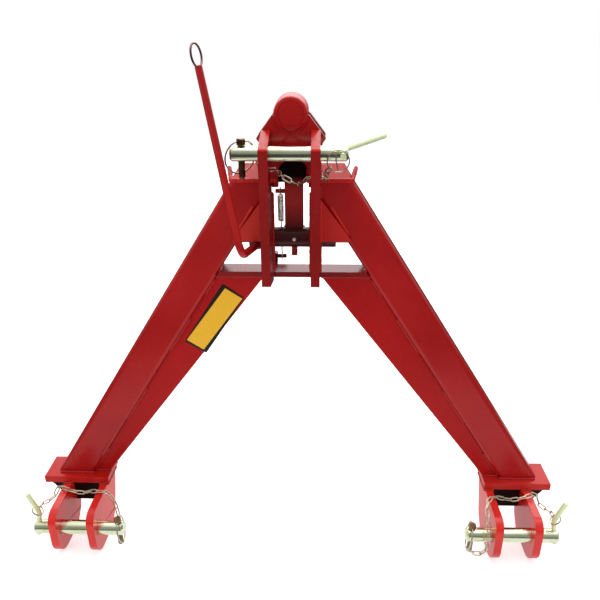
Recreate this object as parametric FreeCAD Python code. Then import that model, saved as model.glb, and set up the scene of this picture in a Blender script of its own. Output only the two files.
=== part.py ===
import FreeCAD, Part
import math
import os

V = FreeCAD.Vector

# Tractor side of a triangle quick hitch, category 1. Millimetres, X to the right,
# Y away from the tractor, Z up. The origin is the centre of the top link pin.

# Hitch points
lower_span = 683.0
mast_height = 578.0
lower_pin_forward = 35.0
top_pin_diameter = 19.0
lower_pin_diameter = 22.0
pin_clearance = 0.1

# Legs, of square tube flattened to a box section
frame_front = 35.0
leg_width = 50.0
leg_depth = 40.0
leg_wall = 5.0
leg_edge_radius = 7.0
leg_top = -39.0
leg_top_half = 78.0
leg_foot_overhang = 48.5
cap_rise = 12.0
cap_thickness = 6.0
apex_slot = 38.0

# Inner webs between legs and crossbar
web_thickness = 8.0
web_setback = 7.0
web_top_width = 69.0
web_foot_width = 25.7

# Crossbar
crossbar_top = -171.0
crossbar_thickness = 8.0
crossbar_depth = 32.0

# Mast plates that hold the top link pin
mast_gap = 52.0
mast_thickness = 12.0
mast_forward = 22.0
mast_top_front = 9.0
mast_top_back = 23.0
mast_foot_front = -170.0
mast_foot_back = -184.0
mast_corner_radius = 3.0
chain_pass_depth = 16.0
chain_pass_top = -10.0
chain_pass_bottom = -50.0

# Apex plates and head
apex_thickness = 12.0
apex_shoulder_half = 45.0
apex_shoulder_height = 12.0
apex_neck_half = 39.0
apex_neck_height = 4.0
head_diameter = 44.0
head_length = 52.0
head_height = 42.5
head_edge = 5.0
head_front = 30.0
head_groove_diameter = 30.0
head_groove_width = 2.0
head_groove_depth = 1.5
head_tangent_gap = 1.5
head_tangent_drop = 2.0
window_half = 20.0
window_height = -16.0

# Guide plates between mast plates and legs
guide_thickness = 8.0
guide_top = -66.0
guide_foot = -124.0
guide_lap = 8.0
guide_lip = 8.0
guide_shoulder = 4.0
guide_shoulder_drop = 5.0

# Latch: a tube that turns on a fixed bar, an arm with a nose, a lever and a spring
latch_axis_y = 55.0
latch_axis_z = -126.0
latch_bar_diameter = 16.0
latch_tube_diameter = 28.0
latch_tube_half = 60.0
latch_clearance = 0.05
arm_centre = 2.5
arm_width = 25.0
arm_thickness = 15.0
arm_top = -21.0
arm_stop_gap = 0.3
nose_width = 16.0
nose_clearance = 2.0
nose_root_height = 24.0
nose_tip_height = 11.0
nose_reach = 92.0
stop_lug_width = 8.0
stop_lug_thickness = 9.0
stop_lug_drop = 12.0
grease_hole_diameter = 4.0
lever_diameter = 10.0
lever_bend_radius = 16.0
lever_root_x = -48.0
lever_root_forward = 3.0
lever_root_drop = 10.0
lever_elbow_x = -58.0
lever_elbow_y = -60.0
lever_elbow_z = -113.0
lever_tip_x = -113.0
lever_tip_y = 40.0
lever_tip_z = 98.0
rope_ring_diameter = 34.0
rope_ring_wire = 3.5
rope_ring_turn = 62.0
peg_diameter = 6.0
peg_length = 13.0
peg_back = 4.0
peg_rise = 64.0
anchor_back = 9.0
anchor_rise = 9.0
anchor_plate = 4.0
anchor_margin = 2.0
anchor_foot = 3.0
spring_diameter = 9.0
spring_wire = 1.8
spring_coils = 10
spring_coil_facets = 9
spring_facets = 5
spring_body = 38.0
spring_eye_clearance = 0.6

# Feet and clevis ears
foot_rise = 50.0
foot_thickness = 12.0
foot_front = 23.0
foot_depth = 52.0
foot_outer_reach = 67.5
foot_inner_reach = 37.5
ear_thickness = 12.0
ear_gap = 47.0
ear_nose = 21.0
ear_bottom = 44.0
ear_toe_back = 20.0
ear_heel_back = 40.0
ear_heel_rise = 18.0
ear_back_top = 66.0
ear_brow_radius = 20.0
ear_toe_radius = 30.0
ear_heel_radius = 8.0
stiffener_thickness = 10.0
stiffener_front = 30.0
stiffener_drop = 40.0
gusset_inset = 3.0
gusset_slope = 16.0

# Hitch pins: reach past the clevis on the linch side and on the handle side
top_pin_free_end = -74.0
top_pin_handle_end = 72.0
top_linch_x = -60.0
lower_pin_free_reach = 75.0
lower_pin_handle_reach = 66.0
lower_linch_reach = 66.0
pin_chamfer = 2.5
handle_diameter = 7.5
top_handle_inset = 6.5
top_handle_bend = 12.0
top_stub_forward = 14.6
top_stub_drop = 1.0
top_elbow_back = 18.0
top_elbow_rise = 1.0
top_tip_out = 58.5
top_tip_back = 90.0
top_tip_rise = 6.0
lower_handle_bend = 14.0
lower_root_out = 63.5
lower_root_drop = 14.5
lower_elbow_out = 55.5
lower_elbow_rise = 30.0
lower_tip_out = 68.5
lower_tip_rise = 64.0
bar_facets = 12
bend_facets = 5

# Linch pins and their spring rings
linch_diameter = 8.5
linch_clearance = 0.05
linch_head_gap = 0.3
linch_head_diameter = 11.0
linch_head_height = 9.0
linch_head_edge = 1.2
linch_reach = 22.0
linch_tip = 3.0
ring_radius = 21.0
ring_wire = 2.4
ring_mouth = 9.0
ring_seat_depth = 2.5
ring_lean = 9.0
ring_facets = 20
top_ring_turn = 55.0
lower_ring_turn = 8.0

# Chains and the loops that hold them
chain_wire = 2.2
chain_pitch = 11.0
chain_link_width = 8.0
chain_play = 0.4
chain_facets = 4
top_loop_radius = 13.5
top_loop_inset = 6.0
top_loop_drop = 5.6
top_loop_gap = 1.3
lower_loop_radius = 8.5
lower_loop_tilt = 35.0
lower_loop_out = 1.8
lower_loop_rise = 2.0
loop_wire = 2.4
loop_facets = 18
wire_facets = 6

lower_centre = lower_span / 2
lower_pin_height = -mast_height
foot_top = lower_pin_height + foot_rise
foot_bottom = foot_top - foot_thickness
foot_outer_half = lower_centre + foot_outer_reach
foot_inner_half = lower_centre - foot_inner_reach
leg_foot_half = lower_centre + leg_foot_overhang
slope = math.atan2(leg_top - foot_top, leg_foot_half - leg_top_half)
leg_across = leg_width / math.sin(slope)
frame_back = frame_front + leg_depth
lever_elbow = V(lever_elbow_x, lever_elbow_y, lever_elbow_z)
lever_tip = V(lever_tip_x, lever_tip_y, lever_tip_z)
top_handle_x = top_pin_handle_end - top_handle_inset
lower_elbow = V(lower_elbow_out, 0, lower_elbow_rise)
lower_site = V(lower_centre, -lower_pin_forward, lower_pin_height)
left_site = V(-lower_centre, -lower_pin_forward, lower_pin_height)
arm_back = latch_axis_y + arm_thickness / 2
arm_side = arm_centre - arm_width / 2


def leg_outer(z):
    """Half width of the frame over the legs' outer faces at height z."""
    return leg_top_half + (leg_top - z) / math.tan(slope)


def leg_inner(z):
    """Half width between the legs' inner faces at height z."""
    return leg_outer(z) - leg_across


def box(x0, x1, y0, y1, z0, z1):
    """Block between two corners."""
    return Part.makeBox(x1 - x0, y1 - y0, z1 - z0, V(x0, y0, z0))


def bar(start, end, diameter):
    """Straight round bar from start to end."""
    return Part.makeCylinder(diameter / 2, (end - start).Length, start, end - start)


def rounded_face(corners, place):
    """Flat face with corners (a, b, radius); place sets a flat point in space."""
    count = len(corners)
    stretches = []
    for index, (a, b, radius) in enumerate(corners):
        corner = V(a, b, 0)
        last_a, last_b, _ = corners[index - 1]
        next_a, next_b, _ = corners[(index + 1) % count]
        back = (V(last_a, last_b, 0) - corner).normalize()
        ahead = (V(next_a, next_b, 0) - corner).normalize()
        half = back.getAngle(ahead) / 2
        reach = radius / math.tan(half)
        crown = corner + (back + ahead).normalize() * (radius / math.sin(half) - radius)
        stretches.append((corner + back * reach, crown, corner + ahead * reach, radius))
    edges = []
    for index, (first, crown, last, radius) in enumerate(stretches):
        if radius > 0:
            edges.append(Part.Arc(place(first), place(crown), place(last)).toShape())
        following = stretches[(index + 1) % count][0]
        edges.append(Part.LineSegment(place(last), place(following)).toShape())
    return Part.Face(Part.Wire(edges))


def plate_across(corners, x, thickness):
    """Plate seen from the side: corners are (y, z, radius), thickness along X."""
    return rounded_face(corners, lambda p: V(x, p.x, p.y)).extrude(V(thickness, 0, 0))


def plate_facing(corners, y, thickness):
    """Plate seen from the tractor: corners are (x, z, radius), thickness along Y."""
    return rounded_face(corners, lambda p: V(p.x, y, p.y)).extrude(V(0, thickness, 0))


def bent_bar(points, diameter, bend_radius):
    """Round bar through the points, bent at each inner one."""
    route = [points[0]]
    for before, corner, after in zip(points, points[1:], points[2:]):
        back = (before - corner).normalize()
        ahead = (after - corner).normalize()
        half = back.getAngle(ahead) / 2
        centre = corner + (back + ahead).normalize() * (bend_radius / math.sin(half))
        first = corner + back * (bend_radius / math.tan(half)) - centre
        bend_axis = back.cross(ahead).normalize() * -1
        turn = math.degrees(math.pi - 2 * half)
        for step in range(bend_facets + 1):
            swing = FreeCAD.Rotation(bend_axis, turn * step / bend_facets)
            route.append(centre + swing.multVec(first))
    route.append(points[-1])
    normal = (points[0] - points[1]).cross(points[2] - points[1])
    return faceted_bar(wire_sections(route, diameter, normal, False, bar_facets), False)


def mirrored(shape):
    """The same piece on the other side of the hitch."""
    return shape.mirror(V(0, 0, 0), V(1, 0, 0))


def leg_envelope():
    """Right leg's outer form, before its ends are cut."""
    return plate_facing(
        [(leg_inner(leg_top + cap_rise), leg_top + cap_rise, 0),
         (leg_inner(foot_top), foot_top, 0),
         (leg_outer(foot_top), foot_top, 0),
         (leg_outer(leg_top + cap_rise), leg_top + cap_rise, 0)],
        frame_front, leg_depth)


def above_leg(drop):
    """Room above the sloped cut at the legs' tops, drop below the cap's upper face."""
    low = leg_top - drop
    high = low + cap_rise
    far = leg_foot_half
    side = [(frame_front - 1, low - cap_rise / leg_depth, 0), (frame_back + 1, high, 0),
            (frame_back + 1, -low, 0), (frame_front - 1, -low, 0)]
    return plate_across(side, -far, 2 * far)


def apex_room():
    """Slot between the two legs in which the latch arm swings."""
    half = apex_slot / 2
    return box(-half, half, frame_front - 1, frame_back + 1, latch_axis_z, -leg_top)


def right_leg():
    """Box tube: rounded long edges, open ends."""
    outer = leg_envelope()
    long_edges = [edge for edge in outer.Edges
                  if edge.Length > leg_width * 4]
    outer = outer.makeFillet(leg_edge_radius, long_edges)
    inset = leg_wall / math.sin(slope)
    high = leg_top + cap_rise
    bore = plate_facing(
        [(leg_inner(high) + inset, high + 1, 0), (leg_inner(foot_top) + inset, foot_top - 1, 0),
         (leg_outer(foot_top) - inset, foot_top - 1, 0), (leg_outer(high) - inset, high + 1, 0)],
        frame_front + leg_wall, leg_depth - 2 * leg_wall)
    return outer.cut([bore, above_leg(cap_thickness), apex_room()])


def right_leg_cap():
    """Sloped plate that closes the leg's upper end."""
    return leg_envelope().common(above_leg(cap_thickness)).cut([above_leg(0), apex_room()])


def right_leg_web():
    """Tapered plate along the leg's inner face, from the crossbar to the foot."""
    top = crossbar_top - crossbar_thickness
    return plate_facing(
        [(leg_inner(top) - web_top_width, top, 0),
         (leg_inner(foot_top) - web_foot_width, foot_top, 0),
         (leg_inner(foot_top), foot_top, 0), (leg_inner(top), top, 0)],
        frame_front + web_setback, web_thickness)


def crossbar():
    """Flat bar between the legs, its ends cut to their slope."""
    low = crossbar_top - crossbar_thickness
    return plate_facing(
        [(-leg_inner(crossbar_top), crossbar_top, 0), (-leg_inner(low), low, 0),
         (leg_inner(low), low, 0), (leg_inner(crossbar_top), crossbar_top, 0)],
        frame_front, crossbar_depth)


def right_mast_plate():
    """Plate for the top link pin, with a notch behind the pin for its chain."""
    plate = plate_across(
        [(-mast_forward, mast_top_front, mast_corner_radius), (frame_front, mast_top_back, 0),
         (frame_front, mast_foot_back, 0), (-mast_forward, mast_foot_front, mast_corner_radius)],
        mast_gap / 2, mast_thickness)
    rounding = chain_pass_depth - 1
    notch_front = frame_front - chain_pass_depth
    notch = plate_across(
        [(frame_front + 1, chain_pass_top, 0), (notch_front, chain_pass_top, rounding),
         (notch_front, chain_pass_bottom, rounding), (frame_front + 1, chain_pass_bottom, 0)],
        mast_gap / 2 - 1, mast_thickness + 2)
    hole = bar(V(0, 0, 0), V(mast_gap, 0, 0), top_pin_diameter + 2 * pin_clearance)
    return plate.cut([notch, hole])


def apex_plate(y, thickness, window):
    """Plate on the leg caps, cut out for the head and, window wide each way, for the latch."""
    tangent_half = head_diameter / 2 + head_tangent_gap
    tangent_height = head_height - head_tangent_drop
    low = leg_top - cap_rise
    plate = plate_facing(
        [(tangent_half, tangent_height, 0), (apex_shoulder_half, apex_shoulder_height, 2),
         (apex_neck_half, apex_neck_height, 2), (apex_neck_half, low, 0),
         (-apex_neck_half, low, 0), (-apex_neck_half, apex_neck_height, 2),
         (-apex_shoulder_half, apex_shoulder_height, 2), (-tangent_half, tangent_height, 0)],
        y, thickness)
    head_seat = bar(V(0, y - 1, head_height), V(0, y + thickness + 1, head_height),
                    head_diameter)
    arch = 0.8 * window
    opening = plate_facing(
        [(arm_centre - window, window_height, arch), (arm_centre - window, low - 1, 0),
         (arm_centre + window, low - 1, 0), (arm_centre + window, window_height, arch)],
        y - 1, thickness + 2)
    caps = leg_envelope().cut([above_leg(0), apex_room()])
    return plate.cut([head_seat, opening, caps, mirrored(caps)])


def apex_head():
    """Round catching head with a rounded rim and a turned ring groove on its face."""
    radius = head_diameter / 2
    back = head_front + head_length
    groove_inner = head_groove_diameter / 2
    groove_outer = groove_inner + head_groove_width
    groove_floor = head_front + head_groove_depth
    profile = [V(0, head_front, 0), V(groove_inner, head_front, 0), V(groove_inner, groove_floor, 0),
               V(groove_outer, groove_floor, 0), V(groove_outer, head_front, 0)]
    rim_steps = 2
    for step in range(rim_steps + 1):
        angle = math.pi / 2 * step / rim_steps
        profile.append(V(radius - head_edge + head_edge * math.sin(angle),
                         head_front + head_edge - head_edge * math.cos(angle), 0))
    for step in range(rim_steps + 1):
        angle = math.pi / 2 * step / rim_steps
        profile.append(V(radius - head_edge + head_edge * math.cos(angle),
                         back - head_edge + head_edge * math.sin(angle), 0))
    profile.append(V(0, back, 0))
    section = Part.Face(Part.makePolygon(profile + profile[:1]))
    return section.revolve(V(0, 0, 0), V(0, 1, 0), 360).translate(V(0, 0, head_height))


def right_guide_plate():
    """Sloped gusset that ties the mast plate to the leg."""
    mast_face = mast_gap / 2 + mast_thickness
    lip_top = guide_foot + guide_lip
    return plate_facing(
        [(mast_face, guide_top, 0), (mast_face + guide_shoulder, guide_top - guide_shoulder_drop, 0),
         (leg_inner(lip_top) + guide_lap, lip_top, guide_lip / 4),
         (leg_inner(guide_foot) + guide_lap, guide_foot, 0), (mast_face, guide_foot, 0)],
        frame_front - guide_thickness, guide_thickness)


def latch_pivot_bar():
    """Fixed bar between the legs' inner faces, on which the latch tube turns."""
    legs = leg_envelope()
    whole = bar(V(-leg_foot_half / 3, latch_axis_y, latch_axis_z),
                V(leg_foot_half / 3, latch_axis_y, latch_axis_z), latch_bar_diameter)
    pieces = whole.cut([legs, mirrored(legs)]).Solids
    return min(pieces, key=lambda piece: abs(piece.CenterOfMass.x))


def latch_tube():
    """Turning tube with a grease hole at the front and a stop lug below."""
    left = V(-latch_tube_half, latch_axis_y, latch_axis_z)
    right = V(latch_tube_half, latch_axis_y, latch_axis_z)
    tube = tube_room()
    lug_top = latch_axis_z - latch_tube_diameter / 4
    lug_bottom = latch_axis_z - latch_tube_diameter / 2 - stop_lug_drop
    lug = box(arm_centre - stop_lug_width / 2, arm_centre + stop_lug_width / 2,
              latch_axis_y - stop_lug_thickness / 2, latch_axis_y + stop_lug_thickness / 2,
              lug_bottom, lug_top)
    bore = bar(left - V(1, 0, 0), right + V(1, 0, 0), latch_bar_diameter + 2 * latch_clearance)
    grease = bar(V(arm_centre, latch_axis_y - latch_tube_diameter, latch_axis_z),
                 V(arm_centre, latch_axis_y, latch_axis_z), grease_hole_diameter)
    return tube.fuse(lug).cut([bore, grease]).removeSplitter()


def tube_room():
    """Space that the latch tube fills."""
    return bar(V(-latch_tube_half, latch_axis_y, latch_axis_z),
               V(latch_tube_half, latch_axis_y, latch_axis_z), latch_tube_diameter)


def latch_arm():
    """Flat arm seated on the tube; its nose reaches back through the rear apex plate."""
    front = latch_axis_y - arm_thickness / 2
    arm = plate_across(
        [(front, latch_axis_z, 0), (front, arm_top, 5),
         (arm_back, arm_top, 1), (arm_back, latch_axis_z, 0)],
        arm_side, arm_width)
    nose_foot = arm_top - nose_root_height
    nose = plate_across(
        [(latch_axis_y, arm_top, 0), (arm_back + 4, arm_top, 3),
         (nose_reach, nose_foot + nose_tip_height, 3),
         (nose_reach, nose_foot, 2), (latch_axis_y, nose_foot, 0)],
        arm_centre - nose_width / 2, nose_width)
    peg = bar(peg_centre(), V(arm_side, peg_centre().y, peg_centre().z), peg_diameter)
    return arm.fuse([nose, peg]).cut(tube_room()).removeSplitter()


def peg_centre():
    """Outer end of the peg on the arm that the spring pulls."""
    return V(arm_side - peg_length, latch_axis_y + peg_back, latch_axis_z + peg_rise)


def anchor_centre():
    """Outer end of the peg behind the crossbar that holds the spring."""
    return V(arm_side - peg_length, frame_front + crossbar_depth + anchor_back,
             crossbar_top + anchor_rise)


def spring_anchor():
    """Small bracket welded behind the crossbar, with a peg for the spring's lower eye."""
    centre = anchor_centre()
    edge = frame_front + crossbar_depth
    radius = anchor_rise - anchor_margin
    rounding = radius - 1
    low = crossbar_top - crossbar_thickness
    plate = plate_across(
        [(edge, low, 0), (edge, centre.z + radius, 0),
         (centre.y + radius, centre.z + radius, rounding),
         (centre.y + radius, centre.z - radius, rounding), (edge + anchor_foot, low, 0)],
        centre.x - anchor_plate, anchor_plate)
    return plate.fuse(bar(centre, V(arm_side, centre.y, centre.z), peg_diameter)).removeSplitter()


def release_lever():
    """Bent bar welded under the tube: a short crank forwards, then the long arm up."""
    root = V(lever_root_x, latch_axis_y - lever_root_forward, latch_axis_z - lever_root_drop)
    lever = bent_bar([root, lever_elbow, lever_tip], lever_diameter, lever_bend_radius)
    pieces = lever.cut(tube_room()).Solids
    return max(pieces, key=lambda piece: piece.Volume)


def rope_ring():
    """Welded ring at the lever's tip for the pull rope."""
    along = (lever_tip - lever_elbow).normalize()
    centre = lever_tip + along * (rope_ring_diameter / 2 - rope_ring_wire / 2)
    facing = along.cross(V(0, 1, 0)).cross(along).normalize()
    across = along.cross(facing).normalize()
    turn = math.radians(rope_ring_turn)
    normal = facing * math.cos(turn) + across * math.sin(turn)
    spoke = normal.cross(along).normalize() * (rope_ring_diameter - rope_ring_wire) / 2
    ring = round_loop(centre, normal, spoke, rope_ring_wire)
    return ring.cut(bar(lever_elbow, lever_tip, lever_diameter))


def foot_plate():
    """Flat plate under the right leg."""
    return box(foot_inner_half, foot_outer_half, foot_front, foot_front + foot_depth,
               foot_bottom, foot_top)


def ear(inner_face):
    """Clevis ear under the foot plate, with its bore for the lower pin."""
    nose_y = -lower_pin_forward - ear_nose
    low = lower_pin_height - ear_bottom
    plate = plate_across(
        [(nose_y, foot_bottom, ear_brow_radius), (nose_y, low, ear_toe_radius),
         (ear_toe_back, low, ear_heel_radius),
         (ear_heel_back, low + ear_heel_rise, ear_heel_radius), (ear_back_top, foot_bottom, 0)],
        inner_face, ear_thickness)
    hole = bar(V(inner_face - 1, -lower_pin_forward, lower_pin_height),
               V(inner_face + ear_thickness + 1, -lower_pin_forward, lower_pin_height),
               lower_pin_diameter + 2 * pin_clearance)
    return plate.cut(hole)


def foot_stiffener():
    """Upright web between the ears and gusset outside them, under the foot plate."""
    inner_ear = lower_centre - ear_gap / 2
    outer_ear = lower_centre + ear_gap / 2
    between = box(inner_ear, outer_ear, stiffener_front, stiffener_front + stiffener_thickness,
                  foot_bottom - stiffener_drop, foot_bottom)
    side = outer_ear + ear_thickness
    outside = plate_facing(
        [(side, foot_bottom, 0), (foot_outer_half - gusset_inset, foot_bottom, 0),
         (foot_outer_half - gusset_inset - gusset_slope, foot_bottom - stiffener_drop / 2, 0),
         (side, foot_bottom - stiffener_drop, 0)],
        stiffener_front, stiffener_thickness)
    return Part.makeCompound([between, outside])


def hitch_pin(low, high, linch_x, diameter, handle):
    """Turned pin along X with chamfered ends, a linch hole and its handle's seat."""
    pin = bar(V(low, 0, 0), V(high, 0, 0), diameter)
    pin = pin.makeChamfer(pin_chamfer, [edge for edge in pin.Edges if edge.Closed])
    linch_hole = bar(V(linch_x, 0, -diameter), V(linch_x, 0, diameter),
                     linch_diameter + 2 * linch_clearance)
    return pin.cut([linch_hole, handle])


def linch_pin(pin_diameter, turn):
    """Linch pin through a hitch pin, head up: shank, pointed tip and head with the ring's hole."""
    head_foot = pin_diameter / 2 + linch_head_gap
    head_top = head_foot + linch_head_height
    full = linch_head_diameter / 2
    levels = [(head_foot, full - linch_head_edge), (head_foot + linch_head_edge, full),
              (head_top - linch_head_edge, full), (head_top, full - linch_head_edge)]
    rings = [round_points(V(0, 0, height), V(radius, 0, 0), V(0, radius, 0), bar_facets)
             for height, radius in levels]
    head = faceted_bar(rings, False)
    tip = -pin_diameter / 2 - linch_reach
    shank = bar(V(0, 0, tip + linch_tip), V(0, 0, head_foot + 1), linch_diameter)
    point = Part.makeCone(linch_diameter / 4, linch_diameter / 2, linch_tip, V(0, 0, tip))
    eye = ring_eye(pin_diameter)
    along = ring_direction(turn)
    hole_corners = (ring_wire + 2 * linch_clearance) / math.cos(math.pi / wire_facets)
    hole_ends = [eye - along * linch_head_diameter, eye + along * linch_head_diameter]
    ring_hole = faceted_bar(wire_sections(hole_ends, hole_corners, V(0, 0, 1), False, wire_facets), False)
    return head.fuse([shank, point]).removeSplitter().cut(ring_hole)


def ring_eye(pin_diameter):
    """Centre of the spring ring's hole in the linch pin's head."""
    return V(0, 0, pin_diameter / 2 + linch_head_gap + linch_head_height / 2)


def ring_direction(turn):
    """Level direction of that hole, turned from +Y towards +X."""
    angle = math.radians(turn)
    return V(math.sin(angle), math.cos(angle), 0)


def spring_ring(pin_diameter, turn):
    """Spring ring hung in the linch pin's head: its lower part lies behind the shank."""
    eye = ring_eye(pin_diameter)
    along = ring_direction(turn)
    up = V(0, 0, 1)
    centre = eye - up * math.sqrt(ring_radius ** 2 - ring_mouth ** 2)
    mouth_angle = math.degrees(math.asin(ring_mouth / ring_radius))
    points = [eye + along * ring_seat_depth]
    for step in range(ring_facets + 1):
        angle = math.radians(mouth_angle + (360 - 2 * mouth_angle) * step / ring_facets)
        points.append(centre + (along * math.sin(angle) + up * math.cos(angle)) * ring_radius)
    points.append(eye - along * ring_seat_depth)
    ring = faceted_bar(wire_sections(points, ring_wire, up.cross(along), False, wire_facets), False)
    ring.rotate(eye, along, ring_lean)
    return ring


def round_points(centre, spoke, across, count):
    """Points evenly spaced round a circle, spoke and across being two of its radii."""
    points = []
    for index in range(count):
        angle = 2 * math.pi * index / count
        points.append(centre + spoke * math.cos(angle) + across * math.sin(angle))
    return points


def faceted_bar(sections, closed):
    """Solid through a row of equal polygons; closed joins the last one to the first."""
    faces = []
    steps = len(sections) if closed else len(sections) - 1
    for index in range(steps):
        here = sections[index]
        following = sections[(index + 1) % len(sections)]
        for corner in range(len(here)):
            other = (corner + 1) % len(here)
            for facet in ([here[corner], here[other], following[other]],
                          [here[corner], following[other], following[corner]]):
                faces.append(Part.Face(Part.makePolygon(facet + facet[:1])))
    if not closed:
        for end in (sections[0], sections[-1]):
            faces.append(Part.Face(Part.makePolygon(end + end[:1])))
    solid = Part.Solid(Part.Shell(faces))
    if solid.Volume < 0:
        solid.reverse()
    return solid


def wire_sections(points, wire, normal, closed, corners):
    """Polygon at each point of a wire's route, mitred between its two runs."""
    sections = []
    count = len(points)
    for index, here in enumerate(points):
        before = points[index - 1]
        after = points[(index + 1) % count]
        if not closed and index == 0:
            before = here + here - after
        if not closed and index == count - 1:
            after = here + here - before
        inward = (here - before).normalize()
        onward = (after - here).normalize()
        run = (inward + onward).normalize()
        side = (normal - run * normal.dot(run)).normalize()
        out = run.cross(side)
        stretch = 1 / math.cos(inward.getAngle(onward) / 2)
        sections.append(round_points(here, out * (stretch * wire / 2), side * (wire / 2), corners))
        normal = side
    return sections


def chain_link(first, last, side):
    """One oval link between two points of the chain's route; side is across its loop."""
    along = (last - first).normalize()
    broad = (side - along * side.dot(along)).normalize()
    end = (chain_link_width - chain_wire) / 2
    reach = (chain_pitch + chain_wire + chain_play) / 2
    straight = reach - 0.87 * end
    half_loop = [(straight, end), (reach, 0.5 * end), (reach, -0.5 * end), (straight, -end)]
    loop = half_loop + [(-a, -b) for a, b in half_loop]
    middle = (first + last) / 2
    points = [middle + along * a + broad * b for a, b in loop]
    sections = wire_sections(points, chain_wire, along.cross(broad), True, chain_facets)
    return faceted_bar(sections, True)


def chain(route, held_wire):
    """Links strung along a route, each turned a quarter against the one before.

    held_wire is the direction of the loop's wire that passes through the first link.
    """
    curve = Part.BSplineCurve()
    curve.interpolate(route)
    edge = curve.toShape()
    count = round(edge.Length / chain_pitch)
    points = edge.discretize(Number=count + 1)
    links = []
    across = held_wire
    for first, last in zip(points, points[1:]):
        across = (last - first).cross(across).normalize()
        links.append(chain_link(first, last, across))
    return Part.makeCompound(links)


def return_spring():
    """Tension spring: an eye round the arm's peg, the coils, a straight tail and a lower eye."""
    inset = V(peg_length / 2, 0, 0)
    top = peg_centre() + inset
    bottom = anchor_centre() + inset
    down = (bottom - top).normalize()
    across = down.cross(V(1, 0, 0)).normalize()
    eye = peg_diameter / 2 + spring_eye_clearance + spring_wire / 2
    coil = (spring_diameter - spring_wire) / 2
    body_start = eye + spring_wire
    eye_steps = 7
    eye_turn = 243 / eye_steps
    points = []
    for step in range(eye_steps + 1):
        angle = math.radians(60 + eye_turn * step)
        points.append(top + across * (eye * math.sin(angle)) + down * (eye * math.cos(angle)))
    coil_steps = spring_coils * spring_coil_facets
    for step in range(coil_steps + 1):
        angle = 2 * math.pi * step / spring_coil_facets
        depth = body_start + spring_body * step / coil_steps
        swing = V(coil * math.sin(angle), 0, 0) - across * (coil * math.cos(angle))
        points.append(top + down * depth + swing)
    tail_end = (bottom - top).Length - eye - spring_wire
    points.append(top + down * (body_start + spring_body + 2 * spring_wire) - across * (spring_wire / 2))
    points.append(top + down * tail_end - across * (spring_wire / 2))
    for step in range(eye_steps + 1):
        angle = math.radians(-150 + eye_turn * step)
        points.append(bottom + across * (eye * math.sin(angle)) + down * (eye * math.cos(angle)))
    sections = wire_sections(points, spring_wire, V(1, 0.01, 0), False, spring_facets)
    return faceted_bar(sections, False)


def round_loop(centre, normal, spoke, wire):
    """Round wire loop: spoke reaches from its centre to the middle of its wire."""
    points = round_points(centre, spoke, normal.cross(spoke), loop_facets)
    return faceted_bar(wire_sections(points, wire, normal, True, wire_facets), True)


def top_loop():
    """Chain loop hung on the top pin's stub, in front of the pin's end."""
    centre = V(top_handle_x - top_loop_inset, -top_pin_diameter / 2 - top_loop_gap - loop_wire / 2,
               -top_stub_drop - top_loop_drop)
    return round_loop(centre, V(0, 1, 0), V(0, 0, top_loop_radius), loop_wire)


def lower_loop():
    """Chain loop hung round a lower pin's handle, at its bend."""
    angle = math.radians(lower_loop_tilt)
    centre = lower_elbow + V(lower_loop_out, 0, lower_loop_rise)
    return round_loop(centre, V(-math.sin(angle), 0, math.cos(angle)), V(0, lower_loop_radius, 0),
                      loop_wire)


# Routes of the three chains, from the loop on the pin to the linch pin's ring.
# The lower ones are measured from the centre of the lower pin.
top_chain_route = [
    V(50.5, -12.8, -15.6), V(45.5, -5, -22), V(46, 5, -29.5), V(45, 14, -34.5), V(41, 22.5, -36.5),
    V(33, 27, -36.5), V(24, 25, -36), V(15, 7, -37), V(8, -11, -34), V(-4, -13, -28),
    V(-14, 4, -25), V(-23, 23, -25), V(-32, 29, -28), V(-41, 28, -20), V(-42.5, 22, -11),
]
outer_chain_route = [
    V(57.4, 7.45, 32.2), V(56.3, 18, 30), V(52, 27.5, 27.5), V(45.5, 35, 29.5), V(42, 41, 36.5),
    V(36.5, 42.5, 43), V(28.5, 39, 43), V(13.5, 36, 40), V(-0.5, 36, 37.5), V(-14.5, 36, 40),
]
right_chain_route = outer_chain_route + [
    V(-29.5, 33, 44), V(-40.5, 21, 41), V(-43.5, 1, 30), V(-44.5, -15, 14), V(-45.5, -19, -3),
    V(-49.5, -17, -19), V(-58.5, -13, -26), V(-68, -12, -23),
]
left_chain_route = [V(-point.x, point.y, point.z) for point in outer_chain_route] + [
    V(29.5, 33, 43), V(41.5, 31, 43), V(51.5, 27, 36), V(58.5, 21, 26), V(62, 15.5, 18.5),
]

parts = {}

# Frame, each side
for side, place in (("right", lambda shape: shape), ("left", mirrored)):
    parts[side + "_leg"] = place(right_leg())
    parts[side + "_leg_cap"] = place(right_leg_cap())
    parts[side + "_leg_web"] = place(right_leg_web())
    parts[side + "_mast_plate"] = place(right_mast_plate())
    parts[side + "_guide_plate"] = place(right_guide_plate())
    parts[side + "_foot_plate"] = place(foot_plate())
    parts[side + "_foot_stiffener"] = place(foot_stiffener())
    parts[side + "_inner_ear"] = place(ear(lower_centre - ear_gap / 2 - ear_thickness))
    parts[side + "_outer_ear"] = place(ear(lower_centre + ear_gap / 2))

# Frame, middle
parts["crossbar"] = crossbar()
parts["front_apex_plate"] = apex_plate(frame_front, apex_thickness, window_half)
rear_apex_front = arm_back + arm_stop_gap
parts["rear_apex_plate"] = apex_plate(rear_apex_front, frame_back - rear_apex_front,
                                      nose_width / 2 + nose_clearance)
parts["apex_head"] = apex_head()

# Latch
parts["latch_pivot_bar"] = latch_pivot_bar()
parts["latch_tube"] = latch_tube()
parts["latch_arm"] = latch_arm()
parts["release_lever"] = release_lever()
parts["rope_ring"] = rope_ring()
parts["spring_anchor"] = spring_anchor()
parts["return_spring"] = return_spring()

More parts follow.
